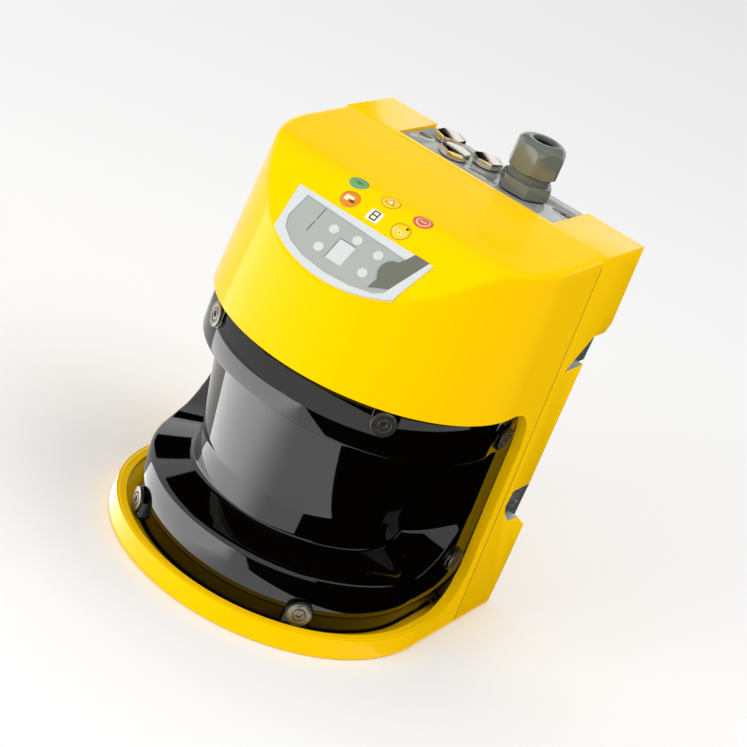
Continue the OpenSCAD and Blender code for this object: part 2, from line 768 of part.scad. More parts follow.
module plug_plate() {
    x0 = recess_x - recess_w / 2 + 0.4;
    x1 = recess_x + recess_w / 2 - 0.4;
    slot_r = plate_screw_r + 0.2;
    color("#b2b6ae") difference() {
        translate([0, 0, plate_z]) linear_extrude(plate_t)
            rounded_rect(x0, recess_y + 0.4, x1, rear_y - 0.8, 3);
        // Slots for the screws: closed at one end of the plate, open at the other
        at_plate_screws() {
            translate([0, 0, plate_top_z - 1.5]) cylinder(h = 3, r = slot_r, $fn = 32);
            translate([0, 0, plate_z - cut]) cylinder(h = 4, r = 1.9, $fn = 24);
        }
        translate([0, 0, plate_top_z - 1.5]) linear_extrude(3) {
            a = plate_screws_at[0];
            translate([a[0], a[1] - slot_r]) square([1.6, 2 * slot_r]);
            translate([a[0] + 1.6, a[1]]) circle(slot_r, $fn = 32);
            b = plate_screws_at[1];
            translate([b[0] - 3.9, b[1] - slot_r]) square([20, 2 * slot_r]);
            translate([b[0] - 3.9, b[1]]) circle(slot_r, $fn = 32);
        }
        for (p = plug_places) translate([p[0], p[1], plate_z - cut]) cylinder(h = 5, r = plug_hole_r + 0.15);
        translate([gland_x, gland_y, plate_z - cut]) cylinder(h = 5, r = gland_thread_r + 0.15);
    }
}

module plate_gasket() {
    color("dimgray") translate([0, 0, recess_z]) linear_extrude(plate_gasket_t) difference() {
        translate([recess_x - recess_w / 2 + 1, recess_y + 1.5])
            square([recess_w - 2, rear_y - recess_y - 3]);
        plug_outline(0.4);
        at_plate_screws() circle(2, $fn = 24);
    }
}

module plate_screws() {
    color("silver") at_plate_screws() difference() {
        union() {
            translate([0, 0, plate_top_z - 1.45]) cylinder(h = 1.2, r = plate_screw_r, $fn = 32);
            translate([0, 0, recess_z - 8])
                cylinder(h = plate_top_z - 1.4 - recess_z + 8, r = 1.58, $fn = 24);
        }
        translate([-3, -0.4, plate_top_z - 0.8]) cube([6, 0.8, 2]);
    }
}

module at_plugs() {
    for (p = plug_places) translate([p[0], p[1], plate_top_z]) rotate(p[2]) children();
}

// Hexagon plugs on a thin collar
module blanking_plugs() {
    collar_z = 0.6;
    hex_z = 1;
    hex_h = 2.8;
    chamfer = 0.35;
    color("lightgray") at_plugs() {
        translate([0, 0, collar_z]) cylinder(h = hex_z - collar_z, r = plug_af / 2 + 0.3);
        translate([0, 0, hex_z]) intersection() {
            linear_extrude(hex_h) hexagon(plug_af);
            cylinder(h = hex_h, r1 = plug_af / sqrt(3) + hex_h - chamfer, r2 = plug_af / sqrt(3) - chamfer);
        }
        translate([0, 0, -plate_t - 1]) cylinder(h = plate_t + 2.1, r = plug_hole_r);
    }
}

module plug_washers() {
    color("black") at_plugs() difference() {
        cylinder(h = 0.6, r = plug_af / 2);
        translate([0, 0, -cut]) cylinder(h = 3, r = plug_hole_r + 0.05);
    }
}

module gland_washer() {
    color("black") translate([gland_x, gland_y, plate_top_z]) difference() {
        cylinder(h = 0.8, r = gland_af / 2);
        translate([0, 0, -cut]) cylinder(h = 3, r = gland_thread_r + 0.05);
    }
}

gland_base_h = 6.2;
gland_neck_h = 3.6;
gland_nut_h = 14.6;
gland_top_z = plate_top_z + 0.8 + gland_base_h + gland_neck_h + gland_nut_h;

module gland_body() {
    z0 = plate_top_z + 0.8;
    color("#858a80") translate([gland_x, gland_y, 0]) difference() {
        union() {
            translate([0, 0, z0]) intersection() {
                linear_extrude(gland_base_h) rotate(1) hexagon(gland_af);
                cylinder(h = gland_base_h, r1 = gland_af / 2 + 4, r2 = gland_af / 2 + 0.8);
                translate([0, 0, -4])
                    cylinder(h = gland_base_h + 4, r1 = gland_af / 2 - 1.6, r2 = gland_af / 2 + 6);
            }
            translate([0, 0, z0 + gland_base_h]) cylinder(h = gland_neck_h + 3, r = gland_af / 2 - 1.4);
            for (i = [0:1]) translate([0, 0, z0 + gland_base_h + 0.8 + 1.5 * i])
                cylinder(h = 0.7, r = gland_af / 2 - 0.9);
            translate([0, 0, plate_z - 6]) cylinder(h = z0 - plate_z + 6, r = gland_thread_r);
        }
        translate([0, 0, plate_z - 7]) cylinder(h = 60, r = gland_bore_d / 2 + 0.4);
    }
}

module gland_nut() {
    z0 = plate_top_z + 0.8 + gland_base_h + gland_neck_h;
    color("#8c9187") translate([gland_x, gland_y, z0]) difference() {
        intersection() {
            linear_extrude(gland_nut_h) rotate(-3) hexagon(gland_af);
            rotate_extrude($fn = 64) polygon(concat(
                [[0, 0], [gland_af / 2 - 0.2, 0], [gland_af / 2 + 1.2, 1]],
                [for (i = [0:8]) let (a = 90 * i / 8)
                    [gland_af / 2 + 1.2 - 4.6 * (1 - cos(a)), gland_nut_h - 5.6 + 5.6 * sin(a)]],
                [[0, gland_nut_h]]));
        }
        translate([0, 0, -cut]) cylinder(h = cut + 3, r = gland_af / 2 - 1.3);
        translate([0, 0, 2.9]) cylinder(h = gland_nut_h - 4.9, r = gland_bore_d / 2 + 2.5);
        cylinder(h = gland_nut_h + cut, r = gland_bore_d / 2 + 1);
    }
}

module gland_seal() {
    z0 = plate_top_z + 0.8 + gland_base_h + gland_neck_h;
    color("#3a3c3a") translate([gland_x, gland_y, z0 + 3]) difference() {
        cylinder(h = gland_nut_h - 5, r = gland_bore_d / 2 + 2.45);
        translate([0, 0, -cut]) cylinder(h = gland_nut_h, r = gland_bore_d / 2);
    }
}

module gland_locknut() {
    color("#8c9187") translate([gland_x, gland_y, plate_z - 3]) difference() {
        cylinder(h = 2.95, r = gland_thread_r + 1.2);
        translate([0, 0, -cut]) cylinder(h = 5, r = gland_thread_r + 0.02);
    }
}

plug_block_z = recess_z - 18;

module plug_block() {
    color("#2b2c2e") difference() {
        translate([0, 0, plug_block_z]) linear_extrude(plate_z - plug_block_z) plug_outline(0);
        translate([recess_x + plug_wall - plug_w / 2, plug_y0 + plug_wall, plug_block_z + 3])
            cube([plug_w - 2 * plug_wall, plug_y1 - plug_y0 - 2 * plug_wall, 40]);
        at_contacts() translate([0, 0, -cut]) cylinder(h = 6, r = 0.7, $fn = 16);
    }
}

// Places children at the foot of each contact of the plug: two rows of ten
module at_contacts() {
    pitch = 5;
    for (i = [0:9], j = [0, 1])
        translate([recess_x + pitch * (i - 4.5), (plug_y0 + plug_y1) / 2 + pitch * (j - 0.5), plug_block_z])
            children();
}

module plug_contacts() {
    color("gold") at_contacts() translate([0, 0, -5]) cylinder(h = 9, r = 0.68, $fn = 16);
}

module device_socket() {
    color("#303234") difference() {
        translate([recess_x - plug_w / 2 - 1.4, plug_y0 - 1.4, plug_block_z - 6])
            cube([plug_w + 2.8, plug_y1 - plug_y0 + 2.6, recess_z - 2.6 - plug_block_z + 6]);
        translate([0, 0, plug_block_z]) linear_extrude(40) plug_outline(0.2);
        at_contacts() translate([0, 0, -5]) cylinder(h = 6, r = 0.7, $fn = 16);
    }
}

// ---------------------------------------------------------------- scan head

chassis_top_z = 150;
main_board_y = 48;
board_post_z = [26, 80, 136];
motor_flange_r = 28;
bearing_r = 6.5;
bearing_t = 5;
bearing_z = [9, 23];
bell_r = 21;
bell_z = 9.6;
bell_h = 21;
bell_wall = 1.8;
magnet_t = 2;
stator_r = bell_r - bell_wall - magnet_t - running_gap;
disc_z = bell_z + bell_h + 1;
disc_r = 30;
drum_z = disc_z + 1.2;
mirror_t = 2;

// Places children round the lens, where three posts carry the receiver board
module at_board_posts() {
    for (a = [90:120:330]) rotate(a) translate([lens_d / 2 + 4.6, 0, 0]) children();
}

module optics_chassis() {
    rear = chassis_y + chassis_t;
    color("#9aa0a4") difference() {
        intersection() {
            union() {
                // Upright wall behind the mirror
                translate([-body_w / 2, chassis_y, foot_h]) cube([body_w, chassis_t, chassis_top_z - foot_h]);
                translate([-skirt_r, chassis_y, floor_t]) cube([2 * skirt_r, chassis_t, foot_h]);
                // Shelf that carries the receiving optics
                translate([-body_w / 2, -body_w / 2, shelf_z + seal_t])
                    cube([body_w, body_w / 2 + rear, shelf_t - seal_t]);
            }
            drafted_u(hood_yc, wall + 0.5, 0, body_h, rear);
        }
        translate([0, 0, shelf_z - cut]) cylinder(h = 10, r = lens_d / 2 + 2.2);
        at_board_posts() translate([0, 0, shelf_z]) cylinder(h = 20, r = 1.2, $fn = 24);
        at_cover_screws(low = false) translate([-lug_back, 0, 0]) cylinder(h = 60, r = lug_post_r + 0.3);
        at_housing_screws() translate([0, seam_y, 0]) rotate([90, 0, 0]) cylinder(h = 12, r = 6.4);
        for (s = [-1, 1], z = board_post_z) translate([s * 50, seam_y, z]) rotate([90, 0, 0])
            cylinder(h = 12, r = 1.3, $fn = 24);
    }
}

module lens_holder() {
    color("#2b2c2e") difference() {
        union() {
            translate([0, 0, shelf_z + shelf_t]) cylinder(h = 2.4, r = lens_d / 2 + 7);
            translate([0, 0, rim_z - 3]) cylinder(h = shelf_z + shelf_t + 6 - rim_z + 3, r = lens_d / 2 + 2);
        }
        translate([0, 0, rim_z - 1]) cylinder(h = 40, r = lens_d / 2 + 0.1);
        translate([0, 0, rim_z - 9]) cylinder(h = 40, r = lens_d / 2 - 1.2);
        at_board_posts() translate([0, 0, shelf_z]) cylinder(h = 20, r = 1.2, $fn = 24);
    }
}

lens_r = 44;

module receiver_lens() {
    z0 = rim_z - 1;
    edge = 3;
    bulge = lens_r - sqrt(lens_r * lens_r - lens_d * lens_d / 4);
    color([0.8, 0.88, 0.95, 0.6]) translate([0, 0, z0]) difference() {
        intersection() {
            cylinder(h = edge + bulge, r = lens_d / 2, $fn = 96);
            translate([0, 0, edge + bulge - lens_r]) sphere(lens_r, $fn = 96);
        }
        translate([0, 0, -cut]) cylinder(h = 20, r = 5.6);
    }
}

laser_z = rim_z - 6;
board_z = shelf_z + shelf_t + 30;

module laser_module() {
    color("#b8963e") translate([0, 0, laser_z]) difference() {
        union() {
            cylinder(h = 24, r = 5.5);
            translate([0, 0, 24]) cylinder(h = 3, r = 4);
        }
        translate([0, 0, -cut]) cylinder(h = 6, r = 3.6);
    }
}

module laser_spider() {
    z0 = shelf_z + shelf_t + 6;
    color("#2b2c2e") difference() {
        union() {
            translate([0, 0, z0]) difference() {
                cylinder(h = 2.4, r = lens_d / 2 + 2);
                translate([0, 0, -cut]) cylinder(h = 6, r = lens_d / 2 - 1.2);
            }
            for (a = [30:120:270]) rotate(a) translate([4, -1.5, z0]) cube([lens_d / 2 - 4, 3, 2.4]);
            translate([0, 0, z0]) cylinder(h = 4, r = 7.4);
        }
        translate([0, 0, z0 - cut]) cylinder(h = 8, r = 5.55);
    }
}

module board_posts() {
    z0 = shelf_z + shelf_t + 2.4;
    color("silver") at_board_posts() {
        translate([0, 0, z0]) linear_extrude(board_z - z0) hexagon(4.4);
        translate([0, 0, z0 - 3.4]) cylinder(h = 3.5, r = 1.18, $fn = 24);
    }
}

module receiver_board() {
    color("darkgreen") translate([0, 0, board_z]) difference() {
        cylinder(h = 1.6, r = lens_d / 2 + 8);
        at_board_posts() translate([0, 0, -cut]) cylinder(h = 5, r = 1.2, $fn = 24);
    }
}

module photodiode() {
    color("silver") translate([0, 0, board_z - 4]) difference() {
        cylinder(h = 4, r = 4.6);
        translate([0, 0, -cut]) cylinder(h = 1.6, r = 3);
    }
}

module motor_base() {
    color("#9aa0a4") translate([0, 0, floor_t]) difference() {
        union() {
            cylinder(h = 3, r = motor_flange_r);
            cylinder(h = bearing_z[1] + bearing_t - floor_t, r = bearing_r + 1.5);
        }
        for (z = bearing_z) translate([0, 0, z - floor_t])
            cylinder(h = bearing_t + (z == bearing_z[1] ? cut : 0), r = bearing_r + 0.01);
        translate([0, 0, 2]) cylinder(h = 40, r = shaft_d / 2 + 1.5);
        at_motor_screws(-cut) cylinder(h = 6, r = 1.6, $fn = 24);
    }
}

module at_motor_screws(z) {
    for (a = [45:90:315]) rotate(a) translate([motor_flange_r - 3.5, 0, z]) children();
}

module motor_screws() {
    color("silver") at_motor_screws(floor_t + 3) difference() {
        union() {
            cylinder(h = 1.8, r = 2.6, $fn = 32);
            translate([0, 0, -5.8]) cylinder(h = 6, r = 1.58, $fn = 24);
        }
        translate([0, 0, 0.8]) linear_extrude(3) hexagon(2);
    }
}

module motor_bearings() {
    color("silver") for (z = bearing_z) translate([0, 0, z]) difference() {
        cylinder(h = bearing_t, r = bearing_r);
        translate([0, 0, -cut]) cylinder(h = 10, r = shaft_d / 2 + 0.02);
        for (e = [-cut, bearing_t - 0.4]) translate([0, 0, e]) difference() {
            cylinder(h = 0.4 + cut, r = bearing_r - 1.2);
            translate([0, 0, -cut]) cylinder(h = 5, r = shaft_d / 2 + 1.2);
        }
    }
}

module motor_stator() {
    teeth = 9;
    color("#a8643c") translate([0, 0, bell_z + 1]) difference() {
        union() {
            cylinder(h = 9, r = bearing_r + 4);
            for (i = [0:teeth - 1]) rotate(i * 360 / teeth) {
                translate([bearing_r + 3, -1.3, 1.5]) cube([stator_r - bearing_r - 4.2, 2.6, 6]);
                intersection() {
                    difference() {
                        cylinder(h = 9, r = stator_r);
                        translate([0, 0, -cut]) cylinder(h = 12, r = stator_r - 1.6);
                    }
                    translate([0, -4, 0]) cube([stator_r + 1, 8, 9]);
                }
            }
        }
        translate([0, 0, -cut]) cylinder(h = 12, r = bearing_r + 1.52);
    }
}

module rotor_bell() {
    color("silver") translate([0, 0, bell_z]) difference() {
        cylinder(h = bell_h, r = bell_r);
        translate([0, 0, -cut]) cylinder(h = bell_h - bell_wall + cut, r = bell_r - bell_wall);
        cylinder(h = 40, r = shaft_d / 2 + 0.01);
    }
}

module rotor_magnet() {
    color("#44464a") translate([0, 0, bell_z + 1]) difference() {
        cylinder(h = 10, r = bell_r - bell_wall - 0.01);
        translate([0, 0, -cut]) cylinder(h = 12, r = bell_r - bell_wall - magnet_t);
    }
}

module rotor_shaft() {
    color("silver") translate([0, 0, bearing_z[0]]) cylinder(h = drum_z + 10 - bearing_z[0], r = shaft_d / 2);
}

module encoder_disc() {
    slots = 45;
    color("#7e8286") translate([0, 0, disc_z - 1]) difference() {
        union() {
            cylinder(h = 2.2, r = 9);
            translate([0, 0, 1]) cylinder(h = 0.8, r = disc_r);
        }
        translate([0, 0, -cut]) cylinder(h = 5, r = shaft_d / 2 + 0.01);
        for (i = [0:slots - 1]) rotate(i * 360 / slots)
            translate([disc_r - 3.6, -0.9, 0.5]) cube([2.6, 1.8, 2]);
    }
}

// Wedge-shaped drum under the mirror, cut at 45 degrees through the scan plane's height
module mirror_carrier() {
    color("#3b3d40") difference() {
        translate([0, 0, drum_z]) cylinder(h = scan_z + rotor_d / 2 - drum_z, r = rotor_d / 2);
        translate([0, 0, scan_z - mirror_t * sqrt(2)]) rotate([45, 0, 0])
            translate([-rotor_d, -rotor_d, 0]) cube([2 * rotor_d, 3 * rotor_d, 2 * rotor_d]);
        translate([0, 0, drum_z - cut]) cylinder(h = 11, r = shaft_d / 2 + 0.01);
    }
}

module scan_mirror() {
    color("lightblue") intersection() {
        translate([0, 0, drum_z]) cylinder(h = rotor_d * 2, r = rotor_d / 2 - 0.3);
        translate([0, 0, scan_z - mirror_t * sqrt(2) + 0.01]) rotate([45, 0, 0])
            translate([-rotor_d, -rotor_d, 0]) cube([2 * rotor_d, 3 * rotor_d, mirror_t]);
    }
}

module encoder_sensor() {
    y = disc_r + 0.6;
    color("#1d1e20") difference() {
        translate([-4, y - 6, floor_t]) cube([8, 10, disc_z + 4.8 - floor_t]);
        translate([-5, y - 7, disc_z - 1.6]) cube([10, 7.6, 4]);
        translate([-5, y - 7, floor_t - cut]) cube([10, 5, disc_z - 4.8 - floor_t]);
    }
}

// ---------------------------------------------------------------- window check

check_angles = [-76, -54, -18, 18, 54, 76];
emitter_board_z = floor_t + 9;

module arc_board(r0, r1) {
    difference() {
        circle(r1, $fn = 96);
        circle(r0, $fn = 96);
        translate([-100, 6]) square([200, 200]);
    }
}

module emitter_board() {
    color("darkgreen") difference() {
        translate([0, 0, emitter_board_z]) linear_extrude(1.6) arc_board(46, 57);
        at_cover_screws(high = false) translate([-lug_back, 0, -20]) cylinder(h = 40, r = lug_post_r + 1.6);
    }
}

module emitter_posts() {
    color("silver") for (a = [-80, -27, 27, 80]) rotate(a) translate([0, -51, floor_t])
        linear_extrude(emitter_board_z - floor_t) hexagon(5);
}

module window_emitters() {
    color("#43464a") for (a = check_angles) rotate(a) translate([0, -52, emitter_board_z + 1.6]) {
        cylinder(h = 8, r = 2.5, $fn = 32);
        translate([0, 0, 8]) sphere(2.5, $fn = 24);
    }
}

receiver_ring_z = band_z + cover_t + 2.4;

module receiver_ring_board() {
    color("darkgreen") translate([0, 0, receiver_ring_z]) linear_extrude(1.6) arc_board(45, 54.5);
}

module receiver_posts() {
    z = receiver_ring_z + 1.6;
    color("silver") for (a = [-60, -20, 20, 60]) rotate(a) translate([0, -48, z])
        linear_extrude(shelf_z + seal_t - z) hexagon(4);
}

module window_receivers() {
    color("#43464a") for (a = check_angles) rotate(a) translate([0, -51.6, receiver_ring_z - 3.6])
        cylinder(h = 3.6, r = 2, $fn = 32);
}

// ---------------------------------------------------------------- boards

module main_board() {
    color("darkgreen") translate([-56, main_board_y, 18]) cube([112, 1.6, 126]);
}

module board_spacers() {
    color("silver") for (s = [-1, 1], z = board_post_z) translate([s * 50, chassis_y + chassis_t, z])
        rotate([-90, 0, 0]) linear_extrude(main_board_y - chassis_y - chassis_t) hexagon(6);
}

module board_screws() {
    color("silver") for (s = [-1, 1], z = board_post_z) translate([s * 50, main_board_y + 1.6, z])
        rotate([-90, 0, 0]) cylinder(h = 1.8, r = 2.6, $fn = 32);
}

module processor_shield() {
    color("silver") translate([-24, main_board_y + 1.6, 92]) difference() {
        cube([48, 8, 40]);
        translate([1, -cut, 1]) cube([46, 8, 38]);
    }
}

module ribbon_connector() {
    color("#2b2c2e") translate([-20, main_board_y + 1.6, 145 - 11]) cube([40, 6, 8]);
}

// ---------------------------------------------------------------- assembly

front_housing();
rear_housing();
seam_seal();
housing_screws();
optics_cover();
cover_seal_high();
cover_seal_low();
cover_screws();
display_bezel();
display_window();
display_panel();
status_lamps();
digit_display();
display_board();
plug_plate();
plate_gasket();
plate_screws();
blanking_plugs();
plug_washers();
gland_washer();
gland_body();
gland_nut();
gland_seal();
gland_locknut();
plug_block();
plug_contacts();
device_socket();
optics_chassis();
lens_holder();
receiver_lens();
laser_module();
laser_spider();
board_posts();
receiver_board();
photodiode();
motor_base();
motor_screws();
motor_bearings();
motor_stator();
rotor_bell();
rotor_magnet();
rotor_shaft();
encoder_disc();
mirror_carrier();
scan_mirror();
encoder_sensor();
emitter_board();
emitter_posts();
window_emitters();
receiver_ring_board();
receiver_posts();
window_receivers();
main_board();
board_spacers();
board_screws();
processor_shield();
ribbon_connector();
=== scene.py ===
# %% [markdown]
# # A safety laser scanner
# A scanner like this stands beside a machine and sweeps a laser beam round it with a spinning
# mirror. Two aluminium castings, painted yellow, hold a black optics cover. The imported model
# gives the frame: every piece below is placed in that frame, in metres.

import json
import math

import bmesh
import bpy
import numpy as np
from mathutils import Matrix, Vector

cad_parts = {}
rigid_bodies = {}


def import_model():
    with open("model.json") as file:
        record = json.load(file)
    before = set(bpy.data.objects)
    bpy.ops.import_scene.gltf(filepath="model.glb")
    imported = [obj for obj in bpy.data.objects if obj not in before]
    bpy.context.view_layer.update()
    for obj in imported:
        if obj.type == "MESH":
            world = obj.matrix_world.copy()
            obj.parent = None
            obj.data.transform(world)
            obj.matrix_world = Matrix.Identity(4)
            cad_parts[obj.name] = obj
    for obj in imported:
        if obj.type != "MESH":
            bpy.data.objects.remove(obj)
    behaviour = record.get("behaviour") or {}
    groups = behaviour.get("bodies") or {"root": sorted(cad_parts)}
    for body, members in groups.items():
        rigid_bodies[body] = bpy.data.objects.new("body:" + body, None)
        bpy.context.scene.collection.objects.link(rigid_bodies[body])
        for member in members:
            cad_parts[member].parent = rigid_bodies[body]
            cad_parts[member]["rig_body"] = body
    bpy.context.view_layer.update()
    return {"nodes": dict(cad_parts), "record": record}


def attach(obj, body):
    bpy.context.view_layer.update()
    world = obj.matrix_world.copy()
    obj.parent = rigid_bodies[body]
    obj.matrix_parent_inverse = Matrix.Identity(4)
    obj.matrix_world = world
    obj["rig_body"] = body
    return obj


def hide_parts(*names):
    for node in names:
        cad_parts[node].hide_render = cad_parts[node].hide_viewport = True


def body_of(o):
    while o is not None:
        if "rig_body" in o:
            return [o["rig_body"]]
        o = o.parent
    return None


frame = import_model()

MM = 0.001

# %% [markdown]
# ## The camera
# The camera looks down on the scanner from the front right, with the frame turned a little, as
# a hand-held picture is. Its place comes from two angles, a roll and a distance.

# %% Camera
azimuth, elevation, roll = (math.radians(a) for a in (23.13, 23.69, 23.47))
distance = 0.931
level = math.cos(elevation)
look = Vector((-math.sin(azimuth) * level, math.cos(azimuth) * level, -math.sin(elevation)))
side = Vector((math.cos(azimuth), math.sin(azimuth), 0))
up = side.cross(look)
right_axis = side * math.cos(roll) + up * math.sin(roll)
up_axis = up * math.cos(roll) - side * math.sin(roll)
eye = Vector((0, 0, 0.090)) - look * distance + right_axis * 0.01328 + up_axis * 0.00438

camera = bpy.data.objects.new("camera", bpy.data.cameras.new("camera"))
camera.data.lens = 104.26
camera.data.sensor_width = 36
camera.data.clip_start = 0.05
camera.matrix_world = Matrix((right_axis, up_axis, -look)).transposed().to_4x4()
camera.location = eye
bpy.context.scene.collection.objects.link(camera)
bpy.context.scene.camera = camera
bpy.context.scene.view_settings.view_transform = "Standard"
print("camera at", [round(v, 3) for v in eye])

# %% [markdown]
# ## Helpers for surfaces
# Most pieces are grids of points: one parameter runs along the piece, the other across it.
# numpy works out the whole grid at once.

# %% Grids to meshes
def mesh_object(name, points, faces, smooth=True):
    """A mesh object from an (n, 3) array in millimetres and the faces' corner numbers."""
    mesh = bpy.data.meshes.new(name)
    mesh.from_pydata((np.asarray(points) * MM).tolist(), [], [list(corners) for corners in faces])
    mesh.polygons.foreach_set("use_smooth", [smooth] * len(mesh.polygons))
    mesh.update()
    piece = bpy.data.objects.new(name, mesh)
    bpy.context.scene.collection.objects.link(piece)
    return piece


def grid_faces(rows, columns, wrap_rows=False, wrap_columns=False):
    """Corner numbers of the quads of a grid whose point (i, j) has number i * columns + j."""
    i = np.arange(rows if wrap_rows else rows - 1)[:, None]
    j = np.arange(columns if wrap_columns else columns - 1)[None, :]
    i2, j2 = (i + 1) % rows, (j + 1) % columns
    corners = [i * columns + j, i2 * columns + j, i2 * columns + j2, i * columns + j2]
    return np.stack([np.broadcast_to(c, (i.shape[0], j.shape[1])) for c in corners], axis=-1).reshape(-1, 4)


def tidy(piece, merge=0.00002):
    """Merges doubled points and turns every face outwards."""
    work = bmesh.new()
    work.from_mesh(piece.data)
    bmesh.ops.remove_doubles(work, verts=work.verts, dist=merge)
    bmesh.ops.dissolve_degenerate(work, edges=work.edges, dist=merge / 2)
    bmesh.ops.recalc_face_normals(work, faces=work.faces)
    work.to_mesh(piece.data)
    work.free()
    return piece


def finish_edges(piece, width, segments=3, angle=35):
    """Rounds the sharp edges by width, in millimetres, and keeps flat faces shaded flat."""
    bevel = piece.modifiers.new("edges", "BEVEL")
    bevel.width = width * MM
    bevel.segments = segments
    bevel.limit_method = "ANGLE"
    bevel.angle_limit = math.radians(angle)
    bevel.use_clamp_overlap = True
    bevel.harden_normals = True
    return piece


def round_corners(sections, radii, steps=4):
    """Rounds the corners of polylines. sections is (n, k, 3), one polyline a row, and radii is (k,).
    A corner becomes a quadratic curve that starts and ends its radius away along the two sides."""
    count = sections.shape[1]
    result = [sections[:, :1]]
    for k in range(1, count - 1):
        here, before, after = sections[:, k], sections[:, k - 1], sections[:, k + 1]
        if radii[k] <= 0:
            result.append(here[:, None])
            continue
        back, forth = before - here, after - here
        back_length = np.linalg.norm(back, axis=1, keepdims=True) + 1e-9
        forth_length = np.linalg.norm(forth, axis=1, keepdims=True) + 1e-9
        reach = np.minimum(radii[k], 0.48 * np.minimum(back_length, forth_length))
        first = here + back / back_length * reach
        last = here + forth / forth_length * reach
        t = np.linspace(0, 1, steps + 1)[None, :, None]
        curve = (1 - t) ** 2 * first[:, None] + 2 * t * (1 - t) * here[:, None] + t**2 * last[:, None]
        result.append(curve)
    result.append(sections[:, -1:])
    return np.concatenate(result, axis=1)


# %% [markdown]
# ## Helpers for materials
# Colours are written as the sRGB hex values a designer would pick, and one function turns them
# into the linear values that Blender works in.

# %% Colours and nodes
def linear(hex_colour):
    """Linear RGBA from an sRGB hex colour."""
    values = np.array([int(hex_colour[i : i + 2], 16) for i in (1, 3, 5)]) / 255
    values = np.where(values <= 0.04045, values / 12.92, ((values + 0.055) / 1.055) ** 2.4)
    return (*values.tolist(), 1.0)


def add(material, kind, settings=None, **links):
    """Adds a node, sets its sockets and properties, and links sockets given as output sockets."""
    node = material.node_tree.nodes.new(kind)
    for key, value in (settings or {}).items():
        if key in node.inputs:
            node.inputs[key].default_value = value
        else:
            setattr(node, key, value)
    for key, value in links.items():
        material.node_tree.links.new(value, node.inputs[key.replace("_", " ")])
    return node


def new_material(name, colour, roughness, **values):
    """A material with one Principled shader, and the shader."""
    material = bpy.data.materials.new(name)
    material.use_nodes = True
    shader = material.node_tree.nodes["Principled BSDF"]
    shader.inputs["Base Color"].default_value = linear(colour)
    shader.inputs["Roughness"].default_value = roughness
    for key, value in values.items():
        shader.inputs[key.replace("_", " ")].default_value = value
    return material, shader


def surface_detail(material, shader, size, depth, colour=None, spread=0.0, rough=0.0):
    """A noise pattern of grains size millimetres wide: it raises the surface by depth millimetres,
    shades the colour by spread and the roughness by rough."""
    place = add(material, "ShaderNodeTexCoord")
    fine = {"Scale": 1 / (size * MM), "Detail": 3.0}
    noise = add(material, "ShaderNodeTexNoise", fine, Vector=place.outputs["Object"])
    relief = {"Strength": 1.0, "Distance": depth * MM}
    bump = add(material, "ShaderNodeBump", relief, Height=noise.outputs["Fac"])
    material.node_tree.links.new(bump.outputs["Normal"], shader.inputs["Normal"])
    if rough:
        value = shader.inputs["Roughness"].default_value
        either_side = {"To Min": value - rough, "To Max": value + rough}
        spread_rough = add(material, "ShaderNodeMapRange", either_side, Value=noise.outputs["Fac"])
        material.node_tree.links.new(spread_rough.outputs["Result"], shader.inputs["Roughness"])
    if spread:
        wide = add(material, "ShaderNodeTexNoise", {"Scale": 25.0, "Detail": 2.0}, Vector=place.outputs["Object"])
        ramp = add(material, "ShaderNodeValToRGB", {}, Fac=wide.outputs["Fac"])
        base = np.array(linear(colour))
        ramp.color_ramp.elements[0].position, ramp.color_ramp.elements[1].position = 0.3, 0.7
        ramp.color_ramp.elements[0].color = (*(base[:3] * (1 - spread)).tolist(), 1)
        ramp.color_ramp.elements[1].color = (*np.minimum(base[:3] * (1 + spread), 1).tolist(), 1)
        material.node_tree.links.new(ramp.outputs["Color"], shader.inputs["Base Color"])
    return material

# %% [markdown]
# ## Finishes
# Each finish starts from the real one: what it is made of and how its surface was made.

# %% Finishes
# Polyester powder coat on cast aluminium: a faint orange peel and a soft gloss.
sheen = {"Specular_IOR_Level": 0.2, "Specular_Tint": linear("#FFC900")}
paint, shader = new_material("powder coat, machine yellow", "#FFC900", 0.15, **sheen)
surface_detail(paint, shader, 1.1, 0.004, "#FFC900", 0.015, 0.02)

# Infrared-transparent polycarbonate: black to the eye and polished like a window. The skirt is
# straight. Only its shading leans outwards, more at the foot, as if it were slightly flared.
SKIRT_FLARE, SKIRT_FROM, SKIRT_TO = (0.46, 0.24), 8, 31
cover_plastic, shader = new_material("polycarbonate, infrared black", "#040302", 0.04, IOR=1.58)
place = add(cover_plastic, "ShaderNodeTexCoord")
height = add(cover_plastic, "ShaderNodeSeparateXYZ", {}, Vector=place.outputs["Object"])
lean = {"From Min": SKIRT_FROM * MM, "From Max": SKIRT_TO * MM, "To Min": SKIRT_FLARE[0], "To Max": SKIRT_FLARE[1]}
flare = add(cover_plastic, "ShaderNodeMapRange", lean, Value=height.outputs["Z"])
fade_out = {"From Min": SKIRT_TO * MM, "From Max": (SKIRT_TO + 1) * MM, "To Min": 1.0, "To Max": 0.0}
on_skirt = add(cover_plastic, "ShaderNodeMapRange", fade_out, Value=height.outputs["Z"])
skirt_flare = add(cover_plastic, "ShaderNodeMath", {"operation": "MULTIPLY"})
cover_plastic.node_tree.links.new(flare.outputs["Result"], skirt_flare.inputs[0])
cover_plastic.node_tree.links.new(on_skirt.outputs["Result"], skirt_flare.inputs[1])
upward = add(cover_plastic, "ShaderNodeCombineXYZ", {}, Z=skirt_flare.outputs["Value"])
surface = add(cover_plastic, "ShaderNodeNewGeometry")
leaned = add(cover_plastic, "ShaderNodeVectorMath", {"operation": "ADD"})
cover_plastic.node_tree.links.new(surface.outputs["Normal"], leaned.inputs[0])
cover_plastic.node_tree.links.new(upward.outputs["Vector"], leaned.inputs[1])
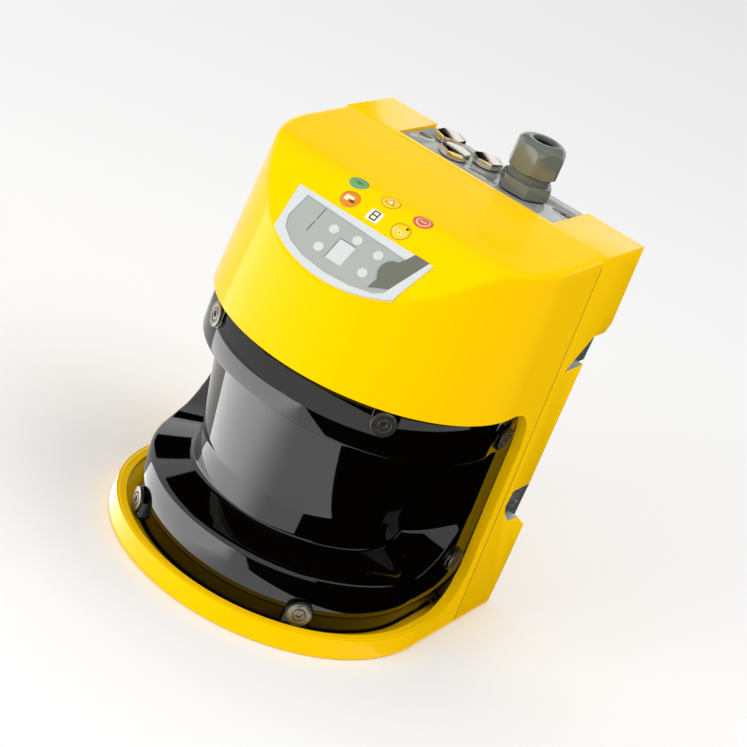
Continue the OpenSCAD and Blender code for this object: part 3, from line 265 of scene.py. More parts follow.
unit = add(cover_plastic, "ShaderNodeVectorMath", {"operation": "NORMALIZE"})
cover_plastic.node_tree.links.new(leaned.outputs["Vector"], unit.inputs[0])
cover_plastic.node_tree.links.new(unit.outputs["Vector"], shader.inputs["Normal"])

# Burnished steel, as left by an oil-blacked screw that has been driven a few times.
dark_steel, shader = new_material("burnished steel", "#7C786E", 0.3, Metallic=0.9)
surface_detail(dark_steel, shader, 0.8, 0.004, "#7C786E", 0.1, 0.05)

steel, shader = new_material("zinc plated steel", "#B9BABB", 0.3, Metallic=1.0)
surface_detail(steel, shader, 0.8, 0.004)

nickel, shader = new_material("nickel plated brass", "#EFE8D6", 0.16, Metallic=1.0)

milled, shader = new_material("milled aluminium", "#B9BBBC", 0.26, Metallic=0.85)
surface_detail(milled, shader, 1.5, 0.006)

gland_plastic, shader = new_material("polyamide, silver grey", "#666C65", 0.16, Specular_IOR_Level=0.7)
surface_detail(gland_plastic, shader, 1.2, 0.003)

plate_paint, shader = new_material("wet paint, pebble grey", "#999E98", 0.12, Specular_IOR_Level=0.6)
surface_detail(plate_paint, shader, 1.5, 0.002)

bezel_plastic, shader = new_material("moulded ABS, light grey", "#CBCFCF", 0.25)

panel_plastic, shader = new_material("printed panel, warm grey", "#A2A7A2", 0.5)

pale_plastic, shader = new_material("diffuse acrylic, pale", "#C9CDCB", 0.4)

smoked_plastic, shader = new_material("smoked film, grey", "#6C6E62", 0.35)

dark_print, shader = new_material("printing ink, dark grey", "#4A4B46", 0.5)

rubber, shader = new_material("nitrile rubber, black", "#17181A", 0.7)
surface_detail(rubber, shader, 0.5, 0.01)

black_plastic, shader = new_material("glass filled nylon, black", "#202224", 0.5)
surface_detail(black_plastic, shader, 0.4, 0.01)

board, shader = new_material("epoxy laminate, green mask", "#1E5B32", 0.35)

brass, shader = new_material("turned brass", "#C9A45A", 0.3, Metallic=1.0)

aluminium, shader = new_material("machined aluminium", "#B5B8BA", 0.35, Metallic=1.0)
surface_detail(aluminium, shader, 0.8, 0.004)

copper, shader = new_material("enamelled copper", "#A4552E", 0.35, Metallic=0.8)
surface_detail(copper, shader, 0.3, 0.02)

magnet, shader = new_material("sintered ferrite", "#2C2D30", 0.6)
surface_detail(magnet, shader, 0.5, 0.01)

mirror_coat, shader = new_material("first surface mirror", "#F2F3F5", 0.02, Metallic=1.0)

# Clear acrylic, thin enough that it does not bend what lies behind it.
clear_glass, shader = new_material("clear acrylic window", "#F4F6F5", 0.04)
clear_glass.node_tree.nodes.remove(shader)
fresnel = add(clear_glass, "ShaderNodeFresnel", {"IOR": 1.49})
through = add(clear_glass, "ShaderNodeBsdfTransparent", {"Color": linear("#F4F7F5")})
gloss = add(clear_glass, "ShaderNodeBsdfGlossy", {"Roughness": 0.05})
blend = add(clear_glass, "ShaderNodeMixShader", {}, Fac=fresnel.outputs["Fac"])
clear_glass.node_tree.links.new(through.outputs["BSDF"], blend.inputs[1])
clear_glass.node_tree.links.new(gloss.outputs["BSDF"], blend.inputs[2])
output = clear_glass.node_tree.nodes["Material Output"]
clear_glass.node_tree.links.new(blend.outputs["Shader"], output.inputs["Surface"])

finish_of_slot = {
    "housing_paint": paint,
    "seal_rubber": rubber,
    "screw_steel": steel,
    "cover_plastic": cover_plastic,
    "cover_screw_steel": dark_steel,
    "bezel_plastic": bezel_plastic,
    "display_lens": clear_glass,
    "panel_plastic": panel_plastic,
    "lamp_plastic": pale_plastic,
    "digit_plastic": pale_plastic,
    "circuit_board": board,
    "plate_paint": plate_paint,
    "plug_nickel": nickel,
    "gland_plastic": gland_plastic,
    "connector_plastic": black_plastic,
    "contact_brass": brass,
    "bare_aluminium": aluminium,
    "lens_glass": clear_glass,
    "copper_iron": copper,
    "rotor_steel": steel,
    "magnet_black": magnet,
    "rotor_plastic": black_plastic,
    "mirror_coat": mirror_coat,
}


def dress(piece, material):
    """Gives a piece one finish."""
    piece.data.materials.clear()
    piece.data.materials.append(material)


for part in frame["record"]["subparts"]:
    dress(frame["nodes"][part["node"]], finish_of_slot[part["material_slot"]])
print(len(frame["nodes"]), "CAD nodes dressed")

# %% [markdown]
# ## The front casting
# The hood, the two side columns and the foot are one casting about 5 mm thick. Its side walls
# lean in a little, which lets the casting leave its mould. The skin is worked out as grids that
# share their edges, then it is given its thickness and its edges are rounded.

# %% Shape of the castings
BODY_W, TOP_W, BODY_H = 155.0, 139.0, 185.0
SEAM_Y, COLUMN_Y, CORNER_R = 42.0, 35.0, 20.0
RIM_Z, FOOT_H, WALL = 114.5, 9.5, 4.7
FACE_ANGLE, TOP_SLOPE, BEND_R, FACE_Z = math.radians(43.7), math.radians(1.2), 26.0, 153.5


def half_width(z):
    """Half the castings' width at height z: it shrinks evenly from base to top."""
    return BODY_W / 2 - (BODY_W - TOP_W) / 2 * z / BODY_H


HOOD_REACH, FOOT_REACH = 64.0, 74.5
HOOD_YC = half_width(RIM_Z) - HOOD_REACH
FOOT_YC = half_width(0.0) - FOOT_REACH
FACE_Y = HOOD_YC - half_width(FACE_Z)

# The lines of the top and of the display face meet at this corner, in Y and Z.
face_rise, top_rise = math.tan(FACE_ANGLE), math.tan(TOP_SLOPE)
CORNER_Y = (BODY_H - SEAM_Y * top_rise - FACE_Z + FACE_Y * face_rise) / (face_rise - top_rise)
CORNER_Z = FACE_Z + (CORNER_Y - FACE_Y) * face_rise
half_turn, mid_slope = (FACE_ANGLE - TOP_SLOPE) / 2, (FACE_ANGLE + TOP_SLOPE) / 2
BEND_Y = CORNER_Y + BEND_R / math.cos(half_turn) * math.sin(mid_slope)
BEND_Z = CORNER_Z - BEND_R / math.cos(half_turn) * math.cos(mid_slope)
BEND_REACH = BEND_R * math.tan(half_turn)


def top_height(y):
    """Height of the hood's outside at y: flat top, an arc of the bend's radius, then the face."""
    y = np.asarray(y, dtype=float)
    flat = BODY_H + (y - SEAM_Y) * math.tan(TOP_SLOPE)
    face = FACE_Z + (y - FACE_Y) * math.tan(FACE_ANGLE)
    bend = BEND_Z + np.sqrt(np.maximum(BEND_R**2 - (y - BEND_Y) ** 2, 0))
    flat_from, face_to = BEND_Y - BEND_R * math.sin(TOP_SLOPE), BEND_Y - BEND_R * math.sin(FACE_ANGLE)
    return np.where(y > flat_from, flat, np.where(y < face_to, face, bend))


# The display's frame: its origin is the middle of its top edge, u runs across, v up the slope
# and w out of the face.
DISPLAY_GAP = 2.8
DISPLAY_DOWN = BEND_REACH + DISPLAY_GAP
DISPLAY_Y = CORNER_Y - DISPLAY_DOWN * math.cos(FACE_ANGLE)
DISPLAY_Z = CORNER_Z - DISPLAY_DOWN * math.sin(FACE_ANGLE)


def on_face(u, v, w):
    """Points on the display face from across, up the slope and out of it, in millimetres."""
    u, v, w = np.broadcast_arrays(np.asarray(u, dtype=float), v, w)
    c, s = math.cos(FACE_ANGLE), math.sin(FACE_ANGLE)
    return np.stack([u, DISPLAY_Y + v * c - w * s, DISPLAY_Z + v * s + w * c], axis=-1)


DISPLAY_TOP_W, DISPLAY_LOW_W, DISPLAY_SIDE, DISPLAY_LENGTH = 34.2, 30.2, 21.8, 30.4


def display_sizes(inset):
    """The display inset millimetres inside its edge: half its top width, half its width where the
    sides end, how far down that is, how deep the arc below hangs, and the arc's radius from its
    chord and depth."""
    w, v = DISPLAY_TOP_W - inset, DISPLAY_LOW_W - inset
    side_v = DISPLAY_SIDE - 0.3 * inset
    sag = DISPLAY_LENGTH - inset - side_v
    return w, v, side_v, sag, (v * v + sag * sag) / (2 * sag)


def display_outline(inset, count=40):
    """Outline of the display, inset millimetres inside its edge: a trapezium on an arc."""
    w, v, side_v, sag, r = display_sizes(inset)
    t = np.linspace(math.asin(v / r), -math.asin(v / r), count)
    arc = np.stack([r * np.sin(t), r - sag - side_v - r * np.cos(t)], axis=-1)
    left = np.stack([np.linspace(-v, -w, 12)[1:-1], np.linspace(-side_v, -inset, 12)[1:-1]], axis=-1)
    over = np.stack([np.linspace(-w, w, 30), np.full(30, -inset)], axis=-1)
    return np.concatenate([arc, left, over, (left * [-1, 1])[::-1]])


print("display face starts at", round(DISPLAY_Y, 2), round(DISPLAY_Z, 2))

# %% The skin's grids
EDGE = 2.4  # how far the rounding of the top edge reaches, in millimetres
ARC, LEG, RUN = 96, 14, 5


def u_stations(yc, y_rear, legs):
    """Plan of the U: for each station its outward normal, whether it is on the arc, and its y."""
    y_leg = np.linspace(y_rear, yc, legs + 1)[:-1]
    turn = np.radians(np.linspace(90, -90, ARC + 1))
    normal_x = np.concatenate([np.ones(legs), np.sin(turn), -np.ones(legs)])
    normal_y = np.concatenate([np.zeros(legs), -np.cos(turn), np.zeros(legs)])
    leg_y = np.concatenate([y_leg, np.full(ARC + 1, yc), y_leg[::-1]])
    return normal_x, normal_y, leg_y


def on_u(stations, radius, z):
    """Points at distance radius from the U's spine, for arrays radius and z of shape (rows, stations)."""
    normal_x, normal_y, leg_y = stations
    return np.stack([radius * normal_x, leg_y + radius * normal_y, z], axis=-1)


def skin_above(stations, z_low, rows):
    """The wall from z_low up to the top edge, the rounded edge, and the top as far as the spine."""
    normal_x, normal_y, leg_y = stations
    z_edge = np.full(len(leg_y), 170.0)
    for _ in range(40):
        z_edge = 0.5 * z_edge + 0.5 * top_height(leg_y + half_width(z_edge) * normal_y)
    t = np.linspace(0, 1, rows + 1)[:, None]
    wall_z = z_low + (z_edge - EDGE - z_low) * t
    wall = on_u(stations, half_width(wall_z), wall_z)
    reach = half_width(z_edge)
    corner = on_u(stations, reach, z_edge)
    inner_r = reach - EDGE
    inner = on_u(stations, inner_r, top_height(leg_y + inner_r * normal_y))
    s = np.linspace(0, 1, 7)[1:, None, None]
    edge = (1 - s) ** 2 * wall[-1] + 2 * s * (1 - s) * corner + s**2 * inner
    inward = inner_r * np.linspace(1, 0, 61)[1:, None]
    top = on_u(stations, inward, top_height(leg_y + inward * normal_y))
    return np.concatenate([wall, edge, top])


def opening_top(y):
    """Height of the side opening's upper edge: the rim, then a quarter circle down the column."""
    x = np.clip(y - (COLUMN_Y - CORNER_R), 0, CORNER_R)
    return RIM_Z - CORNER_R + np.sqrt(CORNER_R**2 - x**2)


def opening_bottom(y):
    """Height of the side opening's lower edge: the foot, then a quarter circle up the column."""
    x = np.clip(y - (COLUMN_Y - CORNER_R), 0, CORNER_R)
    return FOOT_H + CORNER_R - np.sqrt(CORNER_R**2 - x**2)


patches = []
# Hood: everything above the side openings.
hood = u_stations(HOOD_YC, COLUMN_Y, LEG)
leg_z = opening_top(hood[2])
leg_z[LEG:-LEG] = RIM_Z
patches.append(skin_above(hood, leg_z, 30))
# Foot: from the middle of the base out to its edge and up to the openings.
foot = u_stations(FOOT_YC, COLUMN_Y, LEG)
foot_z = opening_bottom(foot[2])
foot_z[LEG:-LEG] = FOOT_H
rows = np.linspace(0, 1, 11)[:, None]
foot_wall_z = foot_z * rows
foot_wall = on_u(foot, half_width(foot_wall_z), foot_wall_z)
under = on_u(foot, half_width(0.0) * np.linspace(0, 1, 13)[:-1, None], np.zeros((12, len(foot[2]))))
patches.append(np.concatenate([under, foot_wall]))
# Columns: the strip between the openings and the seam, on both sides.
for s in (1, -1):
    y = np.linspace(SEAM_Y, COLUMN_Y, RUN + 1)
    strip = (np.full(RUN + 1, float(s)), np.zeros(RUN + 1), y)
    low = opening_bottom(COLUMN_Y) * rows * np.ones(RUN + 1)
    middle = np.linspace(opening_bottom(COLUMN_Y), opening_top(COLUMN_Y), 21)[1:-1, None] * np.ones(RUN + 1)
    wall_low = on_u(strip, half_width(low), low)
    wall_middle = on_u(strip, half_width(middle), middle)
    base = on_u(strip, half_width(0.0) * np.linspace(0, 1, 13)[:-1, None], np.zeros((12, RUN + 1)))
    above = skin_above(strip, np.full(RUN + 1, float(opening_top(COLUMN_Y))), 30)
    patches.append(np.concatenate([base, wall_low, wall_middle, above]))

points, faces, start = [], [], 0
for patch in patches:
    points.append(patch.reshape(-1, 3))
    faces.append(grid_faces(*patch.shape[:2]) + start)
    start += patch.shape[0] * patch.shape[1]
points, faces = np.concatenate(points), np.concatenate(faces)

# The display's opening: faces inside its outline go, and the points round it move onto it.
SEAT_INSET = 1.5
outline = display_outline(SEAT_INSET, 200)


def inside_outline(u, v, inset):
    """Whether points of the display face lie inside the display's outline."""
    w, low, side_v, sag, r = display_sizes(inset)
    slant = np.abs(u) < low + (w - low) * (v + side_v) / (side_v - inset)
    arc = u * u + (v - (r - sag - side_v)) ** 2 < r * r
    return (v < -inset) & slant & (arc | (v > -side_v))


c, s = math.cos(FACE_ANGLE), math.sin(FACE_ANGLE)
offset = points - [0, DISPLAY_Y, DISPLAY_Z]
u, v, w = offset[:, 0], offset[:, 1] * c + offset[:, 2] * s, -offset[:, 1] * s + offset[:, 2] * c
near_face = np.abs(w) < 0.6
inner = near_face & inside_outline(u, v, SEAT_INSET)
drop = inner[faces].all(axis=1)
half_in = inner[faces].any(axis=1) & ~drop
edge_points = np.unique(faces[half_in][inner[faces[half_in]]])
gap = (u[edge_points, None] - outline[None, :, 0]) ** 2 + (v[edge_points, None] - outline[None, :, 1]) ** 2
nearest = outline[gap.argmin(axis=1)]
points[edge_points] = on_face(nearest[:, 0], nearest[:, 1], 0.0)
front_casting = tidy(mesh_object("front_casting", points, faces[~drop]))
thick = front_casting.modifiers.new("wall", "SOLIDIFY")
thick.thickness, thick.offset, thick.use_even_offset = WALL * MM, -1, False
finish_edges(front_casting, 0.8, 3, 50)
dress(front_casting, paint)
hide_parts("front_housing")
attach(front_casting, "scanner")
print("front casting", len(front_casting.data.polygons), "faces before its wall")

# %% The foot's inner slope
def carried_round(stations, profile):
    """A closed profile of (distance from the spine, height) pairs carried round the U."""
    radius = np.broadcast_to(profile[:, :1], (len(profile), len(stations[2])))
    z = np.broadcast_to(profile[:, 1:], radius.shape)
    return on_u(stations, radius, z)


slope = np.array(
    [[66.9, 2.0], [66.9, 5.6], [67.3, 6.0], [74.6, 9.35], [75.2, 9.6]]
    + [[75.9, 9.45], [76.4, 8.9], [76.5, 8.2], [74.0, 2.0]]
)
ring = carried_round(u_stations(FOOT_YC, SEAM_Y - 0.5, LEG + 6), slope)
foot_slope = tidy(mesh_object("foot_slope", ring.reshape(-1, 3), grid_faces(*ring.shape[:2], wrap_rows=True)))
dress(foot_slope, paint)
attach(foot_slope, "scanner")

# %% [markdown]
# ## The rear casting
# The rear casting is mostly flat faces with pockets, so a copy of the model's own shape is
# merged and its edges are rounded, as the sand or die leaves them.

# %% Rear casting
FLAT = 0.5  # faces that meet at less than this, in degrees, are one face


def softened_copy(node, name, width, segments=3, angle=35):
    """A copy of a CAD node whose flat faces are joined and whose edges are rounded."""
    source = frame["nodes"][node]
    piece = bpy.data.objects.new(name, source.data.copy())
    bpy.context.scene.collection.objects.link(piece)
    work = bmesh.new()
    work.from_mesh(piece.data)
    bmesh.ops.remove_doubles(work, verts=work.verts, dist=0.00001)
    bmesh.ops.dissolve_limit(work, angle_limit=math.radians(FLAT), verts=work.verts, edges=work.edges)
    work.to_mesh(piece.data)
    work.free()
    piece.data.polygons.foreach_set("use_smooth", [True] * len(piece.data.polygons))
    finish_edges(piece, width, segments, angle)
    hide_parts(node)
    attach(piece, body_of(source)[0])
    return piece


rear_casting = softened_copy("rear_housing", "rear_casting", 0.7)
dress(rear_casting, paint)
rear_casting.data.materials.append(milled)

# The pockets round the threaded holes are milled after painting, so they show bare metal.
POCKET_DEPTH, POCKET_REACH, THREAD_R, NEAR = 2.2, 18, 3.6, 0.05
# Each hole's Y and Z, and how far its pocket reaches below and above it.
THREADED_HOLES = ((62.5, 57.5, 8.6, 11.2), (66.0, 133.7, 5.4, 10.0))
for hole_y, hole_z, low, high in THREADED_HOLES:
    floor_x = half_width(hole_z) - POCKET_DEPTH
    for face in rear_casting.data.polygons:
        corner = np.array([rear_casting.data.vertices[i].co for i in face.vertices]) / MM
        x, y, z = np.abs(corner[:, 0]), corner[:, 1], corner[:, 2]
        in_pocket = (x > floor_x - NEAR).all() and (np.abs(y - hole_y) < POCKET_REACH).all()
        in_pocket = in_pocket and (z > hole_z - low).all() and (z < hole_z + high).all()
        in_bore = (np.hypot(y - hole_y, z - hole_z) < THREAD_R).all()
        in_floor = abs(face.normal.x) > 0.9999 and (np.abs(x - floor_x) < NEAR).all()
        if in_bore or in_floor or (in_pocket and abs(face.normal.x) < 0.1):
            face.material_index = 1
print("rear casting", len(rear_casting.data.polygons), "faces before its edges")

# %% [markdown]
# ## The optics cover
# The cover is one moulding: an upper band, a ledge, a window that tapers to a waist, and a shelf
# with two ridges that rise towards the side flanges. Its section changes from place to place, so
# each station round the cover has its own section, and the corners of every section are rounded.

# %% Section of the cover
COVER_T, BAND_R, BAND_Z = 2.6, 69.8, 92.5
WINDOW_TOP_R, WAIST_R, WAIST_Z = 58.0, 50.0, 51.5
RIDGE_IN_Z, RIDGE_OUT_Z, RIDGE_OUT_R, SKIRT_R = 38.6, 32.0, 70.3, 66.6
FLANGE_Y, COVER_REAR_Y = 20.0, 38.2
COVER_TOP_Z, COVER_BOTTOM_Z = 118.1, 5.2
FLANGE_Z, COLUMN_GAP = RIDGE_OUT_Z - 4, 0.2
RIDGE_CLIMB, CLIMB_FROM_Y = 30.0, -12.0
WINDOW_TURN = math.radians(97)


def cover_radius(z):
    """Radius of the cover's outside at height z: nearly upright, then in towards the foot."""
    upper = BAND_R + (RIDGE_OUT_R - BAND_R) * (COVER_TOP_Z - z) / (COVER_TOP_Z - RIDGE_OUT_Z)
    lower = RIDGE_OUT_R + (SKIRT_R - RIDGE_OUT_R) * (RIDGE_OUT_Z - z) / (RIDGE_OUT_Z - COVER_BOTTOM_Z)
    return np.where(z > RIDGE_OUT_Z, upper, lower)


def cover_yc(z):
    """Centre of the cover's round front at height z: it moves from the foot's to the hood's."""
    return FOOT_YC + (HOOD_YC - FOOT_YC) * np.minimum(1, z / BAND_Z)


def flange_x(z):
    """Half width of the side flanges, which lie inside the columns."""
    x = half_width(z) - WALL - COLUMN_GAP
    share = (z - COVER_BOTTOM_Z) / (FLANGE_Z - COVER_BOTTOM_Z)
    low = SKIRT_R + (half_width(FLANGE_Z) - WALL - COLUMN_GAP - SKIRT_R) * share
    return np.where(z > FLANGE_Z, x, low)


def window_radius(z):
    """Radius of the window: a cone above the waist, upright below it."""
    cone = WAIST_R + (WINDOW_TOP_R - WAIST_R) * (z - WAIST_Z) / (BAND_Z - WAIST_Z)
    return np.where(z < WAIST_Z, WAIST_R, cone)


COVER_ARC, COVER_LEG, COVER_END = 64, 24, 8
arc_part = np.clip(np.arange(COVER_ARC + COVER_LEG + COVER_END + 1) / COVER_ARC, 0, 1)
leg_part = np.clip((np.arange(len(arc_part)) - COVER_ARC) / COVER_LEG, 0, 1)
end_part = np.clip((np.arange(len(arc_part)) - COVER_ARC - COVER_LEG) / COVER_END, 0, 1)


def outer_xy(z):
    """Right half of the outside at heights z, (stations, 2): a quarter circle, a leg to the
    flange's front edge, then the flange."""
    r, yc, a = cover_radius(z), cover_yc(z), np.radians(90) * arc_part
    x = np.where(leg_part > 0, r + (flange_x(z) - r) * leg_part, r * np.sin(a))
    y = np.where(leg_part > 0, yc + (FLANGE_Y - yc) * leg_part, yc - r * np.cos(a))
    return np.stack([x, y + (COVER_REAR_Y - FLANGE_Y) * end_part], axis=-1)


def window_xy(z):
    """Right half of the window at heights z, (stations, 2): 97 degrees of a circle round the
    mirror's axis, a wall that runs out to the flange, then the flange."""
    r, a = window_radius(z), WINDOW_TURN * arc_part
    end = np.stack([r * math.sin(WINDOW_TURN), -r * math.cos(WINDOW_TURN)], axis=-1)
    x = np.where(leg_part > 0, end[:, 0] + (flange_x(z) - end[:, 0]) * leg_part, r * np.sin(a))
    y = np.where(leg_part > 0, end[:, 1] + (FLANGE_Y - end[:, 1]) * leg_part, -r * np.cos(a))
    return np.stack([x, y + (COVER_REAR_Y - FLANGE_Y) * end_part], axis=-1)


outer_y = outer_xy(np.full(len(arc_part), RIDGE_OUT_Z))[:, 1]
climb = np.clip((outer_y - CLIMB_FROM_Y) / (FLANGE_Y - CLIMB_FROM_Y), 0, 1)
lift = RIDGE_CLIMB * (1 - np.sqrt(1 - climb**2))

# Corners of the section, top to bottom: how far from the outside (0) to the window (1), the
# height, and how wide the corner is rounded.
still = np.zeros(len(arc_part))
corners = [
    (0.0, still + COVER_TOP_Z, 0.0),
    (0.0, still + BAND_Z + 0.2, 1.2),
    (1.0, still + BAND_Z - 0.4, 2.0),
    (1.0, WAIST_Z + 0.75 * lift, 0.8),
    (1.0, RIDGE_IN_Z + 0.95 * lift, 1.6),
    (0.02, RIDGE_OUT_Z + lift, 1.8),
    (0.0, still + FLANGE_Z - 1.0, 3.0),
    (0.0, still + COVER_BOTTOM_Z, 0.0),
]
columns = []
for part, z, _ in corners:
    xy = outer_xy(z) * (1 - part) + window_xy(z) * part
    columns.append(np.concatenate([xy, z[:, None]], axis=1))
sections = np.stack(columns, axis=1)
rounded = round_corners(sections, [c[2] for c in corners], 5)
mirrored = rounded[:0:-1] * [-1, 1, 1]
cover_grid = np.concatenate([mirrored, rounded])
faces = grid_faces(*cover_grid.shape[:2])
optics_skin = tidy(mesh_object("optics_cover_shell", cover_grid.reshape(-1, 3), faces))
thick = optics_skin.modifiers.new("wall", "SOLIDIFY")
thick.thickness, thick.offset, thick.use_even_offset = COVER_T * MM, -1, False
dress(optics_skin, cover_plastic)
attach(optics_skin, "scanner")
print("optics cover", cover_grid.shape)

# %% Bosses under the cover's screws
BOSS_R, SIDE_BOSS_H = 5.9, 0.8
# In front: height on the cover, angle from the middle, boss height and how far its foot reaches up.
FRONT_SCREWS = ((108.0, 38.6, 0.8, 6.0), (14.2, 39.9, 2.5, -6.0))
# On the flanges: Y, height on the cover and how far the boss's foot reaches up.
SIDE_SCREWS = ((23.4, 99.0, 9.0), (23.2, 37.0, -2.0))
screw_places = []
for s in (-1, 1):
    for z, turn, height, reach in FRONT_SCREWS:
        a = math.radians(turn * s)
        r, yc = float(cover_radius(z)), float(cover_yc(z))
        place = (r * math.sin(a), yc - r * math.cos(a), z)
        screw_places.append((place, (math.sin(a), -math.cos(a), 0), height, reach))
    for y, z, reach in SIDE_SCREWS:
        screw_places.append(((s * float(flange_x(z)), y, z), (s, 0, 0), SIDE_BOSS_H, reach))


def tombstone(place, out, height, reach):
    """A round-headed pad: its outline is a half circle of the boss's radius on a straight foot that
    reaches up (or down, if negative) the wall; its edge is rounded towards the front."""
    out = np.array(out, dtype=float)
    across = np.cross([0, 0, 1.0], out)
    a = np.linspace(0, math.pi, 25)
    half = np.stack([BOSS_R * np.cos(a), -np.sign(reach) * BOSS_R * np.sin(a)], axis=-1)
    leg = np.stack([np.full(6, -BOSS_R), np.linspace(0, reach, 7)[1:]], axis=-1)
    outline_2d = np.concatenate([half, leg, (leg * [-1, 1])[::-1]])
    rings = [(1.03, -1.6), (1.02, 0.0), (1.0, height - 0.3), (0.98, height - 0.08)]
    rings += [(0.95, height), (0.0, height)]
    flat_rows = across * outline_2d[:, :1] + np.array([0, 0, 1.0]) * outline_2d[:, 1:]
    return np.stack([np.array(place) + flat_rows * k + out * h for k, h in rings])


pads = [tombstone(*place) for place in screw_places]
faces, start = [], 0
for pad in pads:
    faces.append(grid_faces(*pad.shape[:2], wrap_columns=True) + start)
    start += pad.shape[0] * pad.shape[1]
points = np.concatenate([pad.reshape(-1, 3) for pad in pads])
bosses = tidy(mesh_object("cover_screw_bosses", points, np.concatenate(faces)))
dress(bosses, cover_plastic)
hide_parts("optics_cover")
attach(bosses, "scanner")

# %% [markdown]
# ## The seam
# The castings meet in a fine dark line down each side. A thin bar stands for it: most of the bar
# is inside the wall, and its face is just proud of it.

# %% Seam lines
SEAM_FROM, SEAM_TO, SEAM_HALF, SEAM_IN, SEAM_PROUD = 1.0, 181.0, 0.3, 0.5, 0.03
gap_finish, shader = new_material("shadow gap", "#6B5206", 0.6)
box_faces = grid_faces(2, 4, wrap_columns=True).tolist() + [[0, 1, 2, 3], [7, 6, 5, 4]]
for s in (-1, 1):
    points = []
    for z in (SEAM_FROM, SEAM_TO):
        deep, proud = s * (half_width(z) - SEAM_IN), s * (half_width(z) + SEAM_PROUD)
        front, back = SEAM_Y - SEAM_HALF, SEAM_Y + SEAM_HALF
        points += [[deep, front, z], [proud, front, z], [proud, back, z], [deep, back, z]]
    line = tidy(mesh_object("seam_line_" + ("left", "right")[s > 0], points, box_faces, False))
    dress(line, gap_finish)
    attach(line, "scanner")

# %% [markdown]
# ## Screws, plugs and gland
# Turned and moulded parts keep the model's shape; their edges get a small radius.

# %% Small parts
for node, width, finish in (
    ("cover_screws", 0.18, dark_steel),
    ("blanking_plugs", 0.12, nickel),
    ("gland_body", 0.35, gland_plastic),
    ("gland_nut", 0.45, gland_plastic),
    ("plug_plate", 0.25, plate_paint),
    ("plate_screws", 0.1, steel),
):
    part = softened_copy(node, node + "_look", width, 2, 25)
    dress(part, finish)

# %% [markdown]
# ## The display
# A moulded frame lies on the sloping face. Its opening is not the outline made smaller: it has
# cut corners on the left, and a smoked film covers its right end. Behind it are a printed panel,
# five round lamps and a window for one digit.

# %% Display
def plate_on_face(name, outline_2d, low, high, finish, edge=0.0, hole=None):
    """A flat piece on the display face from a closed outline of (across, down) pairs, between two
    heights, with a hole where a second outline of as many points is given."""
    outline_2d = np.asarray(outline_2d, dtype=float) * [1, -1]
    count = len(outline_2d)
    if hole is None:
        points = np.concatenate([on_face(outline_2d[:, 0], outline_2d[:, 1], w) for w in (low, high)])
        sides = grid_faces(2, count, wrap_columns=True).tolist()
        caps = [list(range(count)), list(range(2 * count - 1, count - 1, -1))]
        piece = mesh_object(name, points, sides + caps, False)
    else:
        hole = np.asarray(hole, dtype=float) * [1, -1]
        walk = ((outline_2d, low), (outline_2d, high), (hole, high), (hole, low))
        points = np.concatenate([on_face(o[:, 0], o[:, 1], w) for o, w in walk])
        piece = mesh_object(name, points, grid_faces(4, count, wrap_rows=True, wrap_columns=True), False)
    tidy(piece)
    if edge:
        finish_edges(piece, edge, 2, 30)
    dress(piece, finish)
    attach(piece, "scanner")
    return piece


def along(corners_2d, count):
    """Points spread evenly along a closed polyline."""
    ring = np.vstack([corners_2d, corners_2d[:1]])
    length = np.concatenate([[0], np.cumsum(np.hypot(*np.diff(ring, axis=0).T))])
    at = np.linspace(0, length[-1], count, endpoint=False)
    return np.stack([np.interp(at, length, ring[:, k]) for k in (0, 1)], axis=-1)


def angle(ring):
    """Direction of points from the middle of the display, with its width drawn in to 0.45."""
    return np.arctan2(ring[:, 1] - 13.0, ring[:, 0] * 0.45)


# The frame's opening, across and down: its top edge falls to the right, its corners are cut, and
# its lower edge follows a round line in short straight steps.
opening_corners = np.array(
    [[22.4, 23.6], [12, 26.3], [0, 27.2], [-12, 26.0], [-20, 23.4], [-26.0, 19.4], [-28.6, 14.4]]
    + [[-28.1, 2.4], [28.6, 4.2], [27.6, 13.0], [25.6, 21.0]]
)
outer_ring, opening = along(display_outline(0.15, 60) * [1, -1], 240), along(opening_corners, 1200)
turn = angle(outer_ring)[:, None] - angle(opening)[None, :]
opening = opening[np.abs(np.angle(np.exp(1j * turn))).argmin(axis=1)]
frame_piece = plate_on_face("display_frame", outer_ring, -1.35, 0.5, bezel_plastic, 0.0, opening)
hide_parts("display_bezel")
panel = plate_on_face("display_print", opening * 0.998, -0.9, 0.12, panel_plastic)

# The film's edge, across and down: straight at its top and right, uneven at its left.
film = [[25.0, -0.1], [32.0, -0.1], [26.3, 18.2], [18.6, 22.2], [18.9, 20.6], [19.3, 17.6]]
film += [[17.2, 14.4], [16.9, 11.2], [17.8, 9.0], [19.4, 7.4], [21.8, 6.6], [23.2, 4.2]]
plate_on_face("display_film", film, 0.05, 0.56, smoked_plastic, 0.0)

LAMP_R = 2.1
lamp_places = ((-9.3, 9.0), (-9.3, 19.0), (1.8, 7.9), (12.9, 8.6), (12.7, 18.5))
angles = np.radians(np.arange(0, 360, 12))
for number, (u, v) in enumerate(lamp_places):
    disc = np.stack([u + LAMP_R * np.cos(angles), v + LAMP_R * np.sin(angles)], axis=-1)
    plate_on_face("display_lamp_%d" % (number + 1), disc, 0.0, 0.2, pale_plastic, 0.06)


def box_corners(x0, y0, x1, y1):
    """The corners of an upright rectangle from two opposite ones."""
    return [[x0, y0], [x1, y0], [x1, y1], [x0, y1]]


plate_on_face("digit_window", box_corners(-4.2, 11.1, 3.5, 21.3), 0.0, 0.18, pale_plastic)
